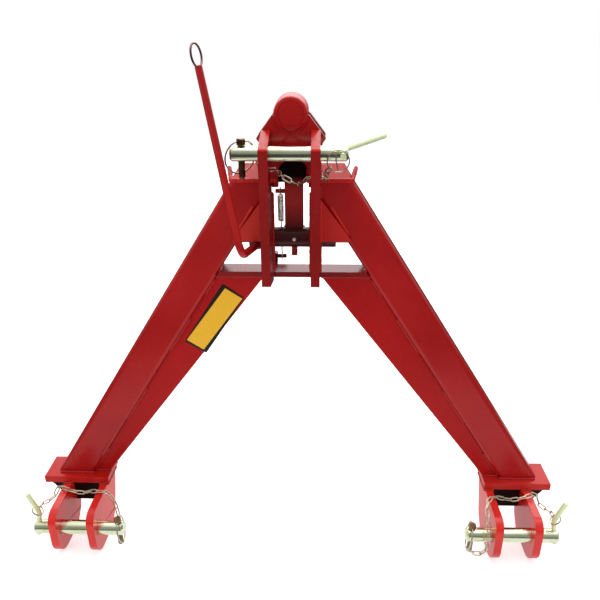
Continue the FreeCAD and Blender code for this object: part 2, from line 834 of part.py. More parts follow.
# Top link pin
top_handle = bent_bar(
    [V(top_handle_x, -top_stub_forward, -top_stub_drop),
     V(top_handle_x, top_elbow_back, top_elbow_rise),
     V(top_handle_x + top_tip_out, top_tip_back, top_tip_rise)],
    handle_diameter, top_handle_bend)
parts["top_pin"] = hitch_pin(top_pin_free_end, top_pin_handle_end, top_linch_x,
                             top_pin_diameter, top_handle)
parts["top_pin_handle"] = top_handle
parts["top_pin_loop"] = top_loop()
top_site = V(top_linch_x, 0, 0)
parts["top_linch_pin"] = linch_pin(top_pin_diameter, top_ring_turn).translate(top_site)
parts["top_linch_ring"] = spring_ring(top_pin_diameter, top_ring_turn).translate(top_site)
parts["top_pin_chain"] = chain(top_chain_route, V(0.71, 0, -0.71))

# Lower hitch pins
lower_handle = bent_bar(
    [V(lower_root_out, 0, -lower_root_drop), lower_elbow, V(lower_tip_out, 0, lower_tip_rise)],
    handle_diameter, lower_handle_bend)
lower_pin = hitch_pin(-lower_pin_free_reach, lower_pin_handle_reach, -lower_linch_reach,
                      lower_pin_diameter, lower_handle)
lower_linch = V(-lower_linch_reach, 0, 0)
for side, place in (("right", lambda shape: shape), ("left", mirrored)):
    parts[side + "_pin"] = place(lower_pin.translated(lower_site))
    parts[side + "_pin_handle"] = place(lower_handle.translated(lower_site))
    parts[side + "_pin_loop"] = place(lower_loop().translated(lower_site))
    linch = linch_pin(lower_pin_diameter, lower_ring_turn).translate(lower_site + lower_linch)
    ring = spring_ring(lower_pin_diameter, lower_ring_turn).translate(lower_site + lower_linch)
    parts[side + "_linch_pin"] = place(linch)
    parts[side + "_linch_ring"] = place(ring)
parts["right_pin_chain"] = chain(right_chain_route, V(0.82, 0, 0.57)).translate(lower_site)
parts["left_pin_chain"] = chain(left_chain_route, V(-0.82, 0, 0.57)).translate(left_site)

os.makedirs("parts", exist_ok=True)
for name, shape in parts.items():
    shape.exportStep("parts/" + name + ".step")
print(len(parts), "pieces")
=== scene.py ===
import math

import bmesh
import bpy
from mathutils import Matrix, Vector


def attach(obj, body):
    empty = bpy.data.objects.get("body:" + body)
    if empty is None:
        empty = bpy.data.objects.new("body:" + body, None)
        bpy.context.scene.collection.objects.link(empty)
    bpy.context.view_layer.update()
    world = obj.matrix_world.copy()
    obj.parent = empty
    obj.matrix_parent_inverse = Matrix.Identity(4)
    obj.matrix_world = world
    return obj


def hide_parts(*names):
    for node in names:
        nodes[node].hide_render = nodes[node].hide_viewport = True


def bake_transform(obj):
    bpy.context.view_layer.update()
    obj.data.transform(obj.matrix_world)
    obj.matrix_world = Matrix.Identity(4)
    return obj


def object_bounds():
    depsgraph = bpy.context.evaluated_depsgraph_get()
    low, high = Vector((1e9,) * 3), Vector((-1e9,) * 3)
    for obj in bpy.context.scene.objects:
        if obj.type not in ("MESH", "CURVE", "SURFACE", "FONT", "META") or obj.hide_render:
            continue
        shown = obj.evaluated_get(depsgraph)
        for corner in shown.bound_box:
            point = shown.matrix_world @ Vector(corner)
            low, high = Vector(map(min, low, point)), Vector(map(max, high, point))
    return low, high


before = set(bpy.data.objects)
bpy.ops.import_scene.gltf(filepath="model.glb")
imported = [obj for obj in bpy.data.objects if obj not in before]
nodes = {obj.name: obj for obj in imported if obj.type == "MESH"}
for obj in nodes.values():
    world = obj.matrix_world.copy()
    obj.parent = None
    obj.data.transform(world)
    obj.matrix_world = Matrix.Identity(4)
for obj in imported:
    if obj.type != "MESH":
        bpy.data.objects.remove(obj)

cad_low, cad_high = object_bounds()
scene = bpy.context.scene

# The camera stands where the photographer did: in front of the top link pin, a little to
# the right, and looks down on the hitch by about 24 degrees.
photo_focal_pixels = 627.07
photo_width_pixels = 600
camera_data = bpy.data.cameras.new("camera")
camera_data.sensor_width = 36.0
camera_data.lens = 36.0 * photo_focal_pixels / photo_width_pixels
camera = bpy.data.objects.new("camera", camera_data)
scene.collection.objects.link(camera)
camera_yaw, camera_pitch, camera_roll = -0.0336, -0.4269, -0.0066
looking = Vector((math.sin(camera_yaw) * math.cos(camera_pitch),
                  math.cos(camera_yaw) * math.cos(camera_pitch),
                  math.sin(camera_pitch)))
level_right = Vector((math.cos(camera_yaw), -math.sin(camera_yaw), 0))
level_up = level_right.cross(looking)
right = level_right * math.cos(camera_roll) + level_up * math.sin(camera_roll)
up = right.cross(looking)
camera.matrix_world = Matrix((
    (right.x, up.x, -looking.x, 0.03748),
    (right.y, up.y, -looking.y, -0.77640),
    (right.z, up.z, -looking.z, 0.15560),
    (0, 0, 0, 1)))
scene.camera = camera
scene.view_settings.view_transform = "Standard"

# A plain pale floor under the clevis ears, a large soft lamp overhead, a long one behind
# that glances off the upper faces, weak ones in front, and a room that is white where it
# is looked at, bright above and dim in front where paint and plating mirror it.
floor_mesh = bpy.data.meshes.new("floor")
reach = 40.0
floor_height = cad_low.z - 0.0005
floor_mesh.from_pydata([(-reach, -reach, floor_height), (reach, -reach, floor_height),
                        (reach, reach, floor_height), (-reach, reach, floor_height)], [], [(0, 1, 2, 3)])
floor = bpy.data.objects.new("floor", floor_mesh)
scene.collection.objects.link(floor)
floor_paint = bpy.data.materials.new("pale_floor")
floor_paint.use_nodes = True
floor_shader = floor_paint.node_tree.nodes["Principled BSDF"]
floor_shader.inputs["Roughness"].default_value = 0.9
floor_shader.inputs["Specular IOR Level"].default_value = 0.0
floor_shader.inputs["Emission Color"].default_value = (1, 1, 1, 1)
floor_tree = floor_paint.node_tree
# In gloss the floor turns dark and glows in a pool round the hitch: a painted reflection for the pins and paint to
# mirror.
floor_rays = floor_tree.nodes.new("ShaderNodeLightPath")
floor_place = floor_tree.nodes.new("ShaderNodeTexCoord")
floor_flat = floor_tree.nodes.new("ShaderNodeVectorMath")
floor_flat.operation = "MULTIPLY"
floor_flat.inputs[1].default_value = (0.7, 1.0, 0.0)
floor_tree.links.new(floor_place.outputs["Object"], floor_flat.inputs[0])
floor_far = floor_tree.nodes.new("ShaderNodeVectorMath")
floor_far.operation = "LENGTH"
floor_tree.links.new(floor_flat.outputs["Vector"], floor_far.inputs[0])
floor_pool = floor_tree.nodes.new("ShaderNodeMapRange")
floor_pool.interpolation_type = "SMOOTHSTEP"
floor_pool.inputs["From Min"].default_value = 0.42
floor_pool.inputs["From Max"].default_value = 0.60
floor_pool.inputs["To Min"].default_value = 0.9
floor_pool.inputs["To Max"].default_value = 0.03
floor_tree.links.new(floor_far.outputs["Value"], floor_pool.inputs["Value"])
floor_tone = floor_tree.nodes.new("ShaderNodeMix")
floor_tone.data_type = "RGBA"
floor_tone.inputs["A"].default_value = (0.95, 0.95, 0.95, 1)
floor_tone.inputs["B"].default_value = (0.03, 0.03, 0.03, 1)
floor_tree.links.new(floor_rays.outputs["Is Glossy Ray"], floor_tone.inputs["Factor"])
floor_tree.links.new(floor_tone.outputs["Result"], floor_shader.inputs["Base Color"])
floor_mirrored = floor_tree.nodes.new("ShaderNodeMath")
floor_mirrored.operation = "MULTIPLY"
floor_tree.links.new(floor_rays.outputs["Is Glossy Ray"], floor_mirrored.inputs[0])
floor_tree.links.new(floor_pool.outputs["Result"], floor_mirrored.inputs[1])
floor_glow = floor_tree.nodes.new("ShaderNodeMath")
floor_glow.operation = "MULTIPLY_ADD"
floor_glow.inputs[1].default_value = 0.48
floor_tree.links.new(floor_rays.outputs["Is Camera Ray"], floor_glow.inputs[0])
floor_tree.links.new(floor_mirrored.outputs[0], floor_glow.inputs[2])
floor_tree.links.new(floor_glow.outputs[0], floor_shader.inputs["Emission Strength"])
floor_mesh.materials.append(floor_paint)


def soft_lamp(name, place, aim, width, depth, power, mirrored=True):
    """Rectangular lamp that faces a point, unseen by the camera; mirrored shows it in gloss."""
    data = bpy.data.lights.new(name, "AREA")
    data.shape = "RECTANGLE"
    data.size = width
    data.size_y = depth
    data.energy = power
    lamp = bpy.data.objects.new(name, data)
    lamp.location = place
    lamp.rotation_mode = "QUATERNION"
    lamp.rotation_quaternion = (Vector(aim) - Vector(place)).to_track_quat("-Z", "Y")
    lamp.visible_camera = False
    lamp.visible_glossy = mirrored
    scene.collection.objects.link(lamp)


soft_lamp("overhead", (0.2, 0.3, 1.9), (0, 0, -0.25), 2.2, 1.8, 24)
soft_lamp("behind", (0.0, 2.6, 1.25), (0, 0, -0.2), 3.4, 1.1, 48)
soft_lamp("front_left", (-1.6, -1.7, 1.0), (0, 0, -0.25), 1.2, 1.2, 14, False)
soft_lamp("front_right", (1.5, -1.5, 0.6), (0, 0, -0.3), 0.9, 0.9, 7, False)

room = bpy.data.worlds.new("white_room")
scene.world = room
room.use_nodes = True
room_nodes = room.node_tree.nodes
room_links = room.node_tree.links
room_light = room_nodes["Background"]
room_light.inputs["Color"].default_value = (1, 1, 1, 1)
room_light.inputs["Strength"].default_value = 0.55
room_seen = room_nodes.new("ShaderNodeBackground")
room_seen.inputs["Color"].default_value = (1, 1, 1, 1)
room_seen.inputs["Strength"].default_value = 1.0
room_rays = room_nodes.new("ShaderNodeLightPath")
room_mirrored = room_nodes.new("ShaderNodeBackground")
room_place = room_nodes.new("ShaderNodeTexCoord")
room_split = room_nodes.new("ShaderNodeSeparateXYZ")
room_links.new(room_place.outputs["Generated"], room_split.inputs["Vector"])
room_front = room_nodes.new("ShaderNodeMapRange")
room_front.inputs["From Min"].default_value = -1.0
room_links.new(room_split.outputs["Z"], room_front.inputs["Value"])
room_bands = room_nodes.new("ShaderNodeValToRGB")
room_links.new(room_front.outputs["Result"], room_bands.inputs["Fac"])
room_bands.color_ramp.elements[0].position = 0.50
room_bands.color_ramp.elements[0].color = (0.16, 0.16, 0.16, 1)
room_bands.color_ramp.elements[1].position = 0.94
room_bands.color_ramp.elements[1].color = (1, 1, 1, 1)
for place, grey in ((0.58, 0.20), (0.66, 0.30), (0.86, 0.36)):
    room_bands.color_ramp.elements.new(place).color = (grey, grey, grey, 1)
room_back = room_nodes.new("ShaderNodeMapRange")
room_back.interpolation_type = "SMOOTHSTEP"
room_back.inputs["From Min"].default_value = -0.05
room_back.inputs["From Max"].default_value = 0.3
room_links.new(room_split.outputs["Y"], room_back.inputs["Value"])
room_left = room_nodes.new("ShaderNodeMapRange")
room_left.interpolation_type = "SMOOTHSTEP"
room_left.inputs["From Min"].default_value = -0.55
room_left.inputs["From Max"].default_value = -0.85
room_left.inputs["To Max"].default_value = 0.6
room_links.new(room_split.outputs["X"], room_left.inputs["Value"])
room_bright = room_nodes.new("ShaderNodeMath")
room_bright.operation = "MAXIMUM"
room_links.new(room_back.outputs["Result"], room_bright.inputs[0])
room_links.new(room_left.outputs["Result"], room_bright.inputs[1])
room_tone = room_nodes.new("ShaderNodeMix")
room_tone.data_type = "RGBA"
room_tone.inputs["B"].default_value = (1, 1, 1, 1)
room_links.new(room_bright.outputs[0], room_tone.inputs["Factor"])
room_links.new(room_bands.outputs["Color"], room_tone.inputs["A"])
room_links.new(room_tone.outputs["Result"], room_mirrored.inputs["Color"])
room_gloss = room_nodes.new("ShaderNodeMixShader")
room_links.new(room_rays.outputs["Is Glossy Ray"], room_gloss.inputs["Fac"])
room_links.new(room_light.outputs["Background"], room_gloss.inputs[1])
room_links.new(room_mirrored.outputs["Background"], room_gloss.inputs[2])
room_mix = room_nodes.new("ShaderNodeMixShader")
room_links.new(room_rays.outputs["Is Camera Ray"], room_mix.inputs["Fac"])
room_links.new(room_gloss.outputs["Shader"], room_mix.inputs[1])
room_links.new(room_seen.outputs["Background"], room_mix.inputs[2])
room_links.new(room_mix.outputs["Shader"], room_nodes["World Output"].inputs["Surface"])


# The welded triangle: box-section legs with sloped caps, web plates, crossbar, mast plates,
# apex plates, foot plates, stiffeners and clevis ears: mild steel, cut, welded and sprayed in
# one gloss red enamel, given below in lighter, darker and black copies as painted light and shade.
def enamel(name, colour, shade, light, gloss, ior=1.36):
    """Sprayed gloss paint: slow drift in colour, faint orange peel, fine dust in the gloss."""
    paint = bpy.data.materials.new(name)
    paint.use_nodes = True
    tree = paint.node_tree
    shader = tree.nodes["Principled BSDF"]
    shader.inputs["IOR"].default_value = ior
    place = tree.nodes.new("ShaderNodeTexCoord")
    drift = tree.nodes.new("ShaderNodeTexNoise")
    drift.inputs["Scale"].default_value = 9.0
    drift.inputs["Detail"].default_value = 3.0
    tree.links.new(place.outputs["Object"], drift.inputs["Vector"])
    tint = tree.nodes.new("ShaderNodeValToRGB")
    tint.color_ramp.elements[0].position = 0.3
    tint.color_ramp.elements[0].color = (*shade, 1)
    tint.color_ramp.elements[1].position = 0.72
    tint.color_ramp.elements[1].color = (*light, 1)
    middle = tint.color_ramp.elements.new(0.5)
    middle.color = (*colour, 1)
    tree.links.new(drift.outputs["Fac"], tint.inputs["Fac"])
    dust = tree.nodes.new("ShaderNodeTexNoise")
    dust.inputs["Scale"].default_value = 420.0
    dust.inputs["Detail"].default_value = 4.0
    tree.links.new(place.outputs["Object"], dust.inputs["Vector"])
    specks = tree.nodes.new("ShaderNodeMapRange")
    specks.inputs["From Min"].default_value = 0.62
    specks.inputs["From Max"].default_value = 0.8
    specks.inputs["To Min"].default_value = 0.0
    specks.inputs["To Max"].default_value = 0.18
    tree.links.new(dust.outputs["Fac"], specks.inputs["Value"])
    dusty = tree.nodes.new("ShaderNodeMix")
    dusty.data_type = "RGBA"
    dusty.inputs["B"].default_value = (0.5, 0.16, 0.13, 1)
    tree.links.new(specks.outputs["Result"], dusty.inputs["Factor"])
    tree.links.new(tint.outputs["Color"], dusty.inputs["A"])
    tree.links.new(dusty.outputs["Result"], shader.inputs["Base Color"])
    sheen = tree.nodes.new("ShaderNodeMapRange")
    sheen.inputs["To Min"].default_value = gloss - 0.06
    sheen.inputs["To Max"].default_value = gloss + 0.1
    tree.links.new(drift.outputs["Fac"], sheen.inputs["Value"])
    tree.links.new(sheen.outputs["Result"], shader.inputs["Roughness"])
    peel = tree.nodes.new("ShaderNodeTexNoise")
    peel.inputs["Scale"].default_value = 260.0
    peel.inputs["Detail"].default_value = 1.5
    tree.links.new(place.outputs["Object"], peel.inputs["Vector"])
    relief = tree.nodes.new("ShaderNodeBump")
    relief.inputs["Strength"].default_value = 0.12
    relief.inputs["Distance"].default_value = 0.0006
    tree.links.new(peel.outputs["Fac"], relief.inputs["Height"])
    tree.links.new(relief.outputs["Normal"], shader.inputs["Normal"])
    return paint


def smooth_tree():
    """Smooth shading that stays crisp where faces meet at more than the angle."""
    tree = bpy.data.node_groups.new("crisp_shading", "GeometryNodeTree")
    tree.interface.new_socket("Geometry", in_out="INPUT", socket_type="NodeSocketGeometry")
    angle = tree.interface.new_socket("Crisp Angle", in_out="INPUT", socket_type="NodeSocketFloat")
    angle.default_value = math.radians(32)
    tree.interface.new_socket("Geometry", in_out="OUTPUT", socket_type="NodeSocketGeometry")
    start = tree.nodes.new("NodeGroupInput")
    end = tree.nodes.new("NodeGroupOutput")
    faces = tree.nodes.new("GeometryNodeSetShadeSmooth")
    edges = tree.nodes.new("GeometryNodeSetShadeSmooth")
    edges.domain = "EDGE"
    meeting = tree.nodes.new("GeometryNodeInputMeshEdgeAngle")
    gentle = tree.nodes.new("FunctionNodeCompare")
    gentle.operation = "LESS_THAN"
    tree.links.new(start.outputs["Geometry"], faces.inputs["Geometry"])
    tree.links.new(faces.outputs["Geometry"], edges.inputs["Geometry"])
    tree.links.new(meeting.outputs["Unsigned Angle"], gentle.inputs["A"])
    tree.links.new(start.outputs["Crisp Angle"], gentle.inputs["B"])
    tree.links.new(gentle.outputs["Result"], edges.inputs["Shade Smooth"])
    tree.links.new(edges.outputs["Geometry"], end.inputs["Geometry"])
    return tree


crisp_shading = smooth_tree()


def finish_steel(node, paint, edge):
    """Gives a CAD node its material, and its sharp edges the roundness of cut steel."""
    piece = nodes[node]
    piece.data.materials.clear()
    piece.data.materials.append(paint)
    merge = piece.modifiers.new("merge", "WELD")
    merge.merge_threshold = 0.00001
    if edge > 0:
        flat = piece.modifiers.new("flat_faces", "DECIMATE")
        flat.decimate_type = "DISSOLVE"
        flat.angle_limit = math.radians(1.0)
        flat.delimit = {"NORMAL", "MATERIAL"}
        rounding = piece.modifiers.new("rounding", "BEVEL")
        rounding.width = edge
        rounding.segments = 2
        rounding.limit_method = "ANGLE"
        rounding.angle_limit = math.radians(32)
        rounding.use_clamp_overlap = True
    shading = piece.modifiers.new("shading", "NODES")
    shading.node_group = crisp_shading
    if edge > 0:
        normals = piece.modifiers.new("normals", "WEIGHTED_NORMAL")
        normals.keep_sharp = True
    return piece


red_enamel = enamel("gloss_red_enamel", (0.36, 0.0060, 0.0065), (0.31, 0.0045, 0.0050),
                    (0.40, 0.0085, 0.0090), 0.2)
# Painted light: a lighter copy of the frame red, for faces that turn up towards the lamps.
painted_light_enamel = enamel("bright_red_enamel", (0.50, 0.013, 0.010), (0.45, 0.009, 0.008),
                      (0.55, 0.03, 0.022), 0.26, 1.28)
# Painted shade: a darker copy of the red, for the mast plates.
shaded_enamel = enamel("shaded_red_enamel", (0.24, 0.0045, 0.005), (0.21, 0.004, 0.0045),
                       (0.27, 0.006, 0.0065), 0.24)
# Painted shade: a darker copy of the red, for the crossbar.
deep_shade_enamel = enamel("deep_red_enamel", (0.21, 0.005, 0.0055), (0.18, 0.004, 0.0045),
                     (0.24, 0.006, 0.0065), 0.3, 1.34)
dark_enamel = enamel("dark_red_enamel", (0.062, 0.0022, 0.0024), (0.048, 0.0018, 0.002),
                     (0.085, 0.004, 0.004), 0.28)
# Painted shadow: a near-black copy of the red for faces that lie in shade.
painted_shadow_enamel = enamel("greased_black_enamel", (0.009, 0.002, 0.003), (0.007, 0.002, 0.002),
                      (0.014, 0.003, 0.004), 0.4, 1.15)
painted_highlight_enamel = enamel("glossy_red_enamel", (0.70, 0.019, 0.012), (0.64, 0.014, 0.010),
                       (0.76, 0.03, 0.02), 0.24, 1.48)
web_enamel = enamel("web_red_enamel", (0.36, 0.0070, 0.0075), (0.32, 0.006, 0.0065),
                    (0.39, 0.0085, 0.0090), 0.22, 1.22)
for side in ("left", "right"):
    finish_steel(side + "_leg", red_enamel, 0.0008)
    finish_steel(side + "_leg_web", web_enamel, 0.0008)
    # Caps and foot plates take the lighter copy of the red: painted light.
    for name in ("leg_cap", "foot_plate"):
        finish_steel(side + "_" + name, painted_light_enamel, 0.0008)
    # The ears take a much lighter copy of the red: a painted highlight.
    for name in ("inner_ear", "outer_ear"):
        finish_steel(side + "_" + name, painted_highlight_enamel, 0.0008)
    stiffener = finish_steel(side + "_foot_stiffener", red_enamel, 0.0008)
    # Painted shadow: the stiffener's forward faces are black.
    stiffener.data.materials.append(painted_shadow_enamel)
    for polygon in stiffener.data.polygons:
        if polygon.normal.y < -0.5:
            polygon.material_index = 1
    # Mast plates take the darker copy, painted shade, and their upward slopes the lighter copy, painted light.
    mast = finish_steel(side + "_mast_plate", shaded_enamel, 0.0008)
    mast.data.materials.append(painted_light_enamel)
    for polygon in mast.data.polygons:
        if polygon.normal.z > 0.2 and polygon.normal.y < -0.2:
            polygon.material_index = 1
finish_steel("front_apex_plate", red_enamel, 0.0008)
head = finish_steel("apex_head", red_enamel, 0.0008)
# Painted highlight: the head's round rim takes the lighter copy of the red.
head.data.materials.append(painted_light_enamel)
for polygon in head.data.polygons:
    if abs(polygon.normal.y) < 0.5:
        polygon.material_index = 1
# The crossbar takes the darker copy of the red: painted shade.
finish_steel("crossbar", deep_shade_enamel, 0.0008)
rear_plate = finish_steel("rear_apex_plate", red_enamel, 0.0008)
# Painted shadow: the rear apex plate's front faces are black.
rear_plate.data.materials.append(painted_shadow_enamel)
for polygon in rear_plate.data.polygons:
    if polygon.normal.y < -0.9:
        polygon.material_index = 1

# Guide plates: two sloped gussets that steer the top link's ball end on to its pin. They
# are sheared from plate and welded to mast plates and legs, in the lighter red: painted light.
for side in ("left", "right"):
    finish_steel(side + "_guide_plate", painted_light_enamel, 0.0008)

# Weld beads: every plate is fixed with a run of fillet weld, laid by hand in short ripples
# and painted over. The webs are stitched to the legs, with gaps between the runs.
def bead_tree():
    """Row of overlapping ripples along the piece's own lines."""
    tree = bpy.data.node_groups.new("weld_bead", "GeometryNodeTree")
    tree.interface.new_socket("Geometry", in_out="INPUT", socket_type="NodeSocketGeometry")
    tree.interface.new_socket("Bead Width", in_out="INPUT", socket_type="NodeSocketFloat")
    tree.interface.new_socket("Ripple", in_out="INPUT", socket_type="NodeSocketFloat")
    tree.interface.new_socket("Unevenness", in_out="INPUT", socket_type="NodeSocketFloat")
    tree.interface.new_socket("Seed", in_out="INPUT", socket_type="NodeSocketInt")
    tree.interface.new_socket("Finish", in_out="INPUT", socket_type="NodeSocketMaterial")
    tree.interface.new_socket("Geometry", in_out="OUTPUT", socket_type="NodeSocketGeometry")
    start = tree.nodes.new("NodeGroupInput")
    end = tree.nodes.new("NodeGroupOutput")
    line = tree.nodes.new("GeometryNodeMeshToCurve")
    steps = tree.nodes.new("GeometryNodeCurveToPoints")
    steps.mode = "LENGTH"
    drop = tree.nodes.new("GeometryNodeMeshUVSphere")
    drop.inputs["Segments"].default_value = 12
    drop.inputs["Rings"].default_value = 8
    drop.inputs["Radius"].default_value = 0.5
    low = tree.nodes.new("ShaderNodeMath")
    low.operation = "SUBTRACT"
    low.inputs[0].default_value = 1.0
    high = tree.nodes.new("ShaderNodeMath")
    high.operation = "ADD"
    high.inputs[0].default_value = 1.0
    uneven = tree.nodes.new("FunctionNodeRandomValue")
    uneven.data_type = "FLOAT"
    width = tree.nodes.new("ShaderNodeMath")
    width.operation = "MULTIPLY"
    length = tree.nodes.new("ShaderNodeMath")
    length.operation = "MULTIPLY"
    length.inputs[1].default_value = 2.6
    size = tree.nodes.new("ShaderNodeCombineXYZ")
    place = tree.nodes.new("GeometryNodeInstanceOnPoints")
    real = tree.nodes.new("GeometryNodeRealizeInstances")
    smooth = tree.nodes.new("GeometryNodeSetShadeSmooth")
    finish = tree.nodes.new("GeometryNodeSetMaterial")
    links = tree.links
    links.new(start.outputs["Geometry"], line.inputs["Mesh"])
    links.new(line.outputs["Curve"], steps.inputs["Curve"])
    links.new(start.outputs["Ripple"], steps.inputs["Length"])
    links.new(start.outputs["Unevenness"], low.inputs[1])
    links.new(start.outputs["Unevenness"], high.inputs[1])
    links.new(low.outputs[0], uneven.inputs[2])
    links.new(high.outputs[0], uneven.inputs[3])
    links.new(start.outputs["Seed"], uneven.inputs["Seed"])
    links.new(uneven.outputs[1], width.inputs[0])
    links.new(start.outputs["Bead Width"], width.inputs[1])
    links.new(start.outputs["Ripple"], length.inputs[0])
    links.new(width.outputs[0], size.inputs["X"])
    links.new(width.outputs[0], size.inputs["Y"])
    links.new(length.outputs[0], size.inputs["Z"])
    links.new(steps.outputs["Points"], place.inputs["Points"])
    links.new(drop.outputs["Mesh"], place.inputs["Instance"])
    links.new(steps.outputs["Rotation"], place.inputs["Rotation"])
    links.new(size.outputs["Vector"], place.inputs["Scale"])
    links.new(place.outputs["Instances"], real.inputs["Geometry"])
    links.new(real.outputs["Geometry"], smooth.inputs["Geometry"])
    links.new(smooth.outputs["Geometry"], finish.inputs["Geometry"])
    links.new(start.outputs["Finish"], finish.inputs["Material"])
    links.new(finish.outputs["Geometry"], end.inputs["Geometry"])
    return tree


weld_bead = bead_tree()


def set_size(modifier, **sizes):
    """Fills a tree's named inputs; an underscore in a name stands for a space."""
    for item in modifier.node_group.interface.items_tree:
        if item.item_type == "SOCKET" and item.in_out == "INPUT":
            word = item.name.replace(" ", "_")
            if word in sizes:
                modifier[item.identifier] = sizes[word]


def line_piece(name, runs):
    """Mesh of bare lines, one for each run of points given in millimetres."""
    points = []
    edges = []
    for run in runs:
        for index, point in enumerate(run):
            if index:
                edges.append((len(points) - 1, len(points)))
            points.append(tuple(value / 1000 for value in point))
    mesh = bpy.data.meshes.new(name)
    mesh.from_pydata(points, edges, [])
    piece = bpy.data.objects.new(name, mesh)
    scene.collection.objects.link(piece)
    return piece


def made_plain(piece):
    """The piece's evaluated shape as a plain mesh under the same name."""
    name = piece.name
    graph = bpy.context.evaluated_depsgraph_get()
    mesh = bpy.data.meshes.new_from_object(piece.evaluated_get(graph), depsgraph=graph)
    bpy.data.objects.remove(piece)
    mesh.name = name
    plain = bpy.data.objects.new(name, mesh)
    scene.collection.objects.link(plain)
    return plain


def weld(name, runs, width, body, finish, seed=1):
    """Beads along the runs, joined to one body."""
    piece = line_piece(name, runs)
    bead = piece.modifiers.new("bead", "NODES")
    bead.node_group = weld_bead
    set_size(bead, Bead_Width=width, Ripple=0.0022, Unevenness=0.09, Seed=seed, Finish=finish)
    plain = made_plain(piece)
    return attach(plain, body)


def both_sides(runs):
    """The runs and their mirror images."""
    return runs + [[(-x, y, z) for x, y, z in run] for run in runs]


leg_slope = 312.0 / 489.0
leg_across = 59.3


def leg_outer(z):
    """Half width over the legs' outer faces at height z, in millimetres."""
    return 78.0 + (-39.0 - z) * leg_slope


def leg_inner(z):
    """Half width between the legs' inner faces at height z, in millimetres."""
    return leg_outer(z) - leg_across


cap_runs = [[(22, 35.0, -42.0), (77, 35.0, -42.0)], [(80, 40, -43), (86, 73, -34)]]
stitches = ((-186, -206), (-247, -299), (-368, -424), (-484, -524))
web_runs = [[(leg_inner(high) - 0.5, 41.5, high), (leg_inner(low) - 0.5, 41.5, low)] for high, low in stitches]
web_top_runs = [[(42, 41, -180), (leg_inner(-180) - 1, 41, -180)]]
crossbar_runs = [[(leg_inner(-172) - 1.5, 38, -170.5), (leg_inner(-172) - 1.5, 65, -170.5)]]
foot_runs = [[(leg_inner(-527) + 1, 34.5, -527.5), (leg_outer(-527) - 6, 34.5, -527.5)],
             [(306, 41.5, -527.5), (leg_inner(-527) - 1, 41.5, -527.5)]]
guide_runs = [[(38.5, 27.5, -70), (38.5, 27.5, -122)],
              [(leg_inner(-78) + 9, 34.5, -78), (leg_inner(-114) + 9, 34.5, -114)]]
mast_runs = [[(38.4, 34.5, 6), (38.4, 34.5, -8)], [(38.4, 34.6, -52), (38.4, 34.6, -64)],
             [(38.5, 34.6, -128), (38.5, 34.6, -168)], [(25.5, 34.6, -60), (25.5, 34.6, -168)]]
apex_runs = [[(27, 34.6, -42), (39, 36, -40), (40, 46, -37)], [(41, 64, -33), (41, 74, -30)]]
ear_runs = [[(317.6, 24, -540.4), (317.6, 64, -540.4)], [(377.4, 24, -540.4), (377.4, 64, -540.4)],
            [(305.6, 24, -540.4), (305.6, 64, -540.4)], [(365.4, 43, -540.4), (365.4, 64, -540.4)],
            [(306, 22.6, -540.4), (318, 22.6, -540.4)], [(365, 22.6, -540.4), (377, 22.6, -540.4)]]
# The cap beads and the guide beads take the lighter copy of the red: painted light.
weld("leg_cap_welds", both_sides(cap_runs), 0.0066, "frame", painted_light_enamel, 3)
weld("web_welds", both_sides(web_runs + web_top_runs), 0.0050, "frame", red_enamel, 4)
weld("crossbar_welds", both_sides(crossbar_runs), 0.0046, "frame", red_enamel, 5)
weld("foot_welds", both_sides(foot_runs + ear_runs), 0.0056, "frame", red_enamel, 6)
weld("guide_welds", both_sides(guide_runs), 0.0044, "frame", painted_light_enamel, 7)
weld("mast_welds", both_sides(mast_runs + apex_runs), 0.0046, "frame", red_enamel, 8)
head_ring = [(22.3 * math.sin(math.radians(5 * step)), 35.0, 42.5 + 22.3 * math.cos(math.radians(5 * step)))
             for step in range(20, 53)]
arch_run = [(11.5 * math.sin(math.radians(6 * step)), 34.9, 5.5 + 9.0 * math.cos(math.radians(6 * step)))
            for step in range(-9, 10)]
weld("apex_head_welds", [head_ring, arch_run], 0.0034, "frame", red_enamel, 9)

# Decal on the left web: a blank yellow label with a black border, printed on thin vinyl
# and stuck flat on the paint. Its lettering and signs are left off.
label = bpy.data.meshes.new("blank_label")
label_corners = [Vector((-100.0, 0, -192.0)), Vector((-70.0, 0, -214.0)),
                 Vector((-131.0, 0, -305.0)), Vector((-162.0, 0, -286.0))]
label_front = 41.8
shaper = bmesh.new()
outline = []
label_middle = sum(label_corners, Vector()) / 4
for index, corner in enumerate(label_corners):
    before = (label_corners[index - 1] - corner).normalized()
    after = (label_corners[(index + 1) % 4] - corner).normalized()
    for share in range(5):
        turn = share / 4
        outline.append(corner + before * 3.0 * (1 - turn) ** 2 + after * 3.0 * turn ** 2)
face = shaper.faces.new([shaper.verts.new((p.x / 1000, label_front / 1000, p.z / 1000)) for p in outline])
layer = shaper.loops.layers.uv.new("UVMap")
long_way = (label_corners[2] - label_corners[1]).normalized()
short_way = (label_corners[0] - label_corners[1]).normalized()
for loop in face.loops:
    spot = loop.vert.co * 1000 - Vector((label_middle.x, label_front, label_middle.z))
    loop[layer].uv = (spot.dot(long_way), spot.dot(short_way))
shaper.to_mesh(label)
shaper.free()
label_piece = bpy.data.objects.new("blank_label", label)
scene.collection.objects.link(label_piece)
label_wall = label_piece.modifiers.new("vinyl", "SOLIDIFY")
label_wall.thickness = 0.00018
label_wall.offset = 0.0
vinyl = bpy.data.materials.new("yellow_vinyl")
vinyl.use_nodes = True
vinyl_tree = vinyl.node_tree
vinyl_shader = vinyl_tree.nodes["Principled BSDF"]
vinyl_shader.inputs["Roughness"].default_value = 0.32
vinyl_place = vinyl_tree.nodes.new("ShaderNodeUVMap")
vinyl_place.uv_map = "UVMap"
vinyl_split = vinyl_tree.nodes.new("ShaderNodeSeparateXYZ")
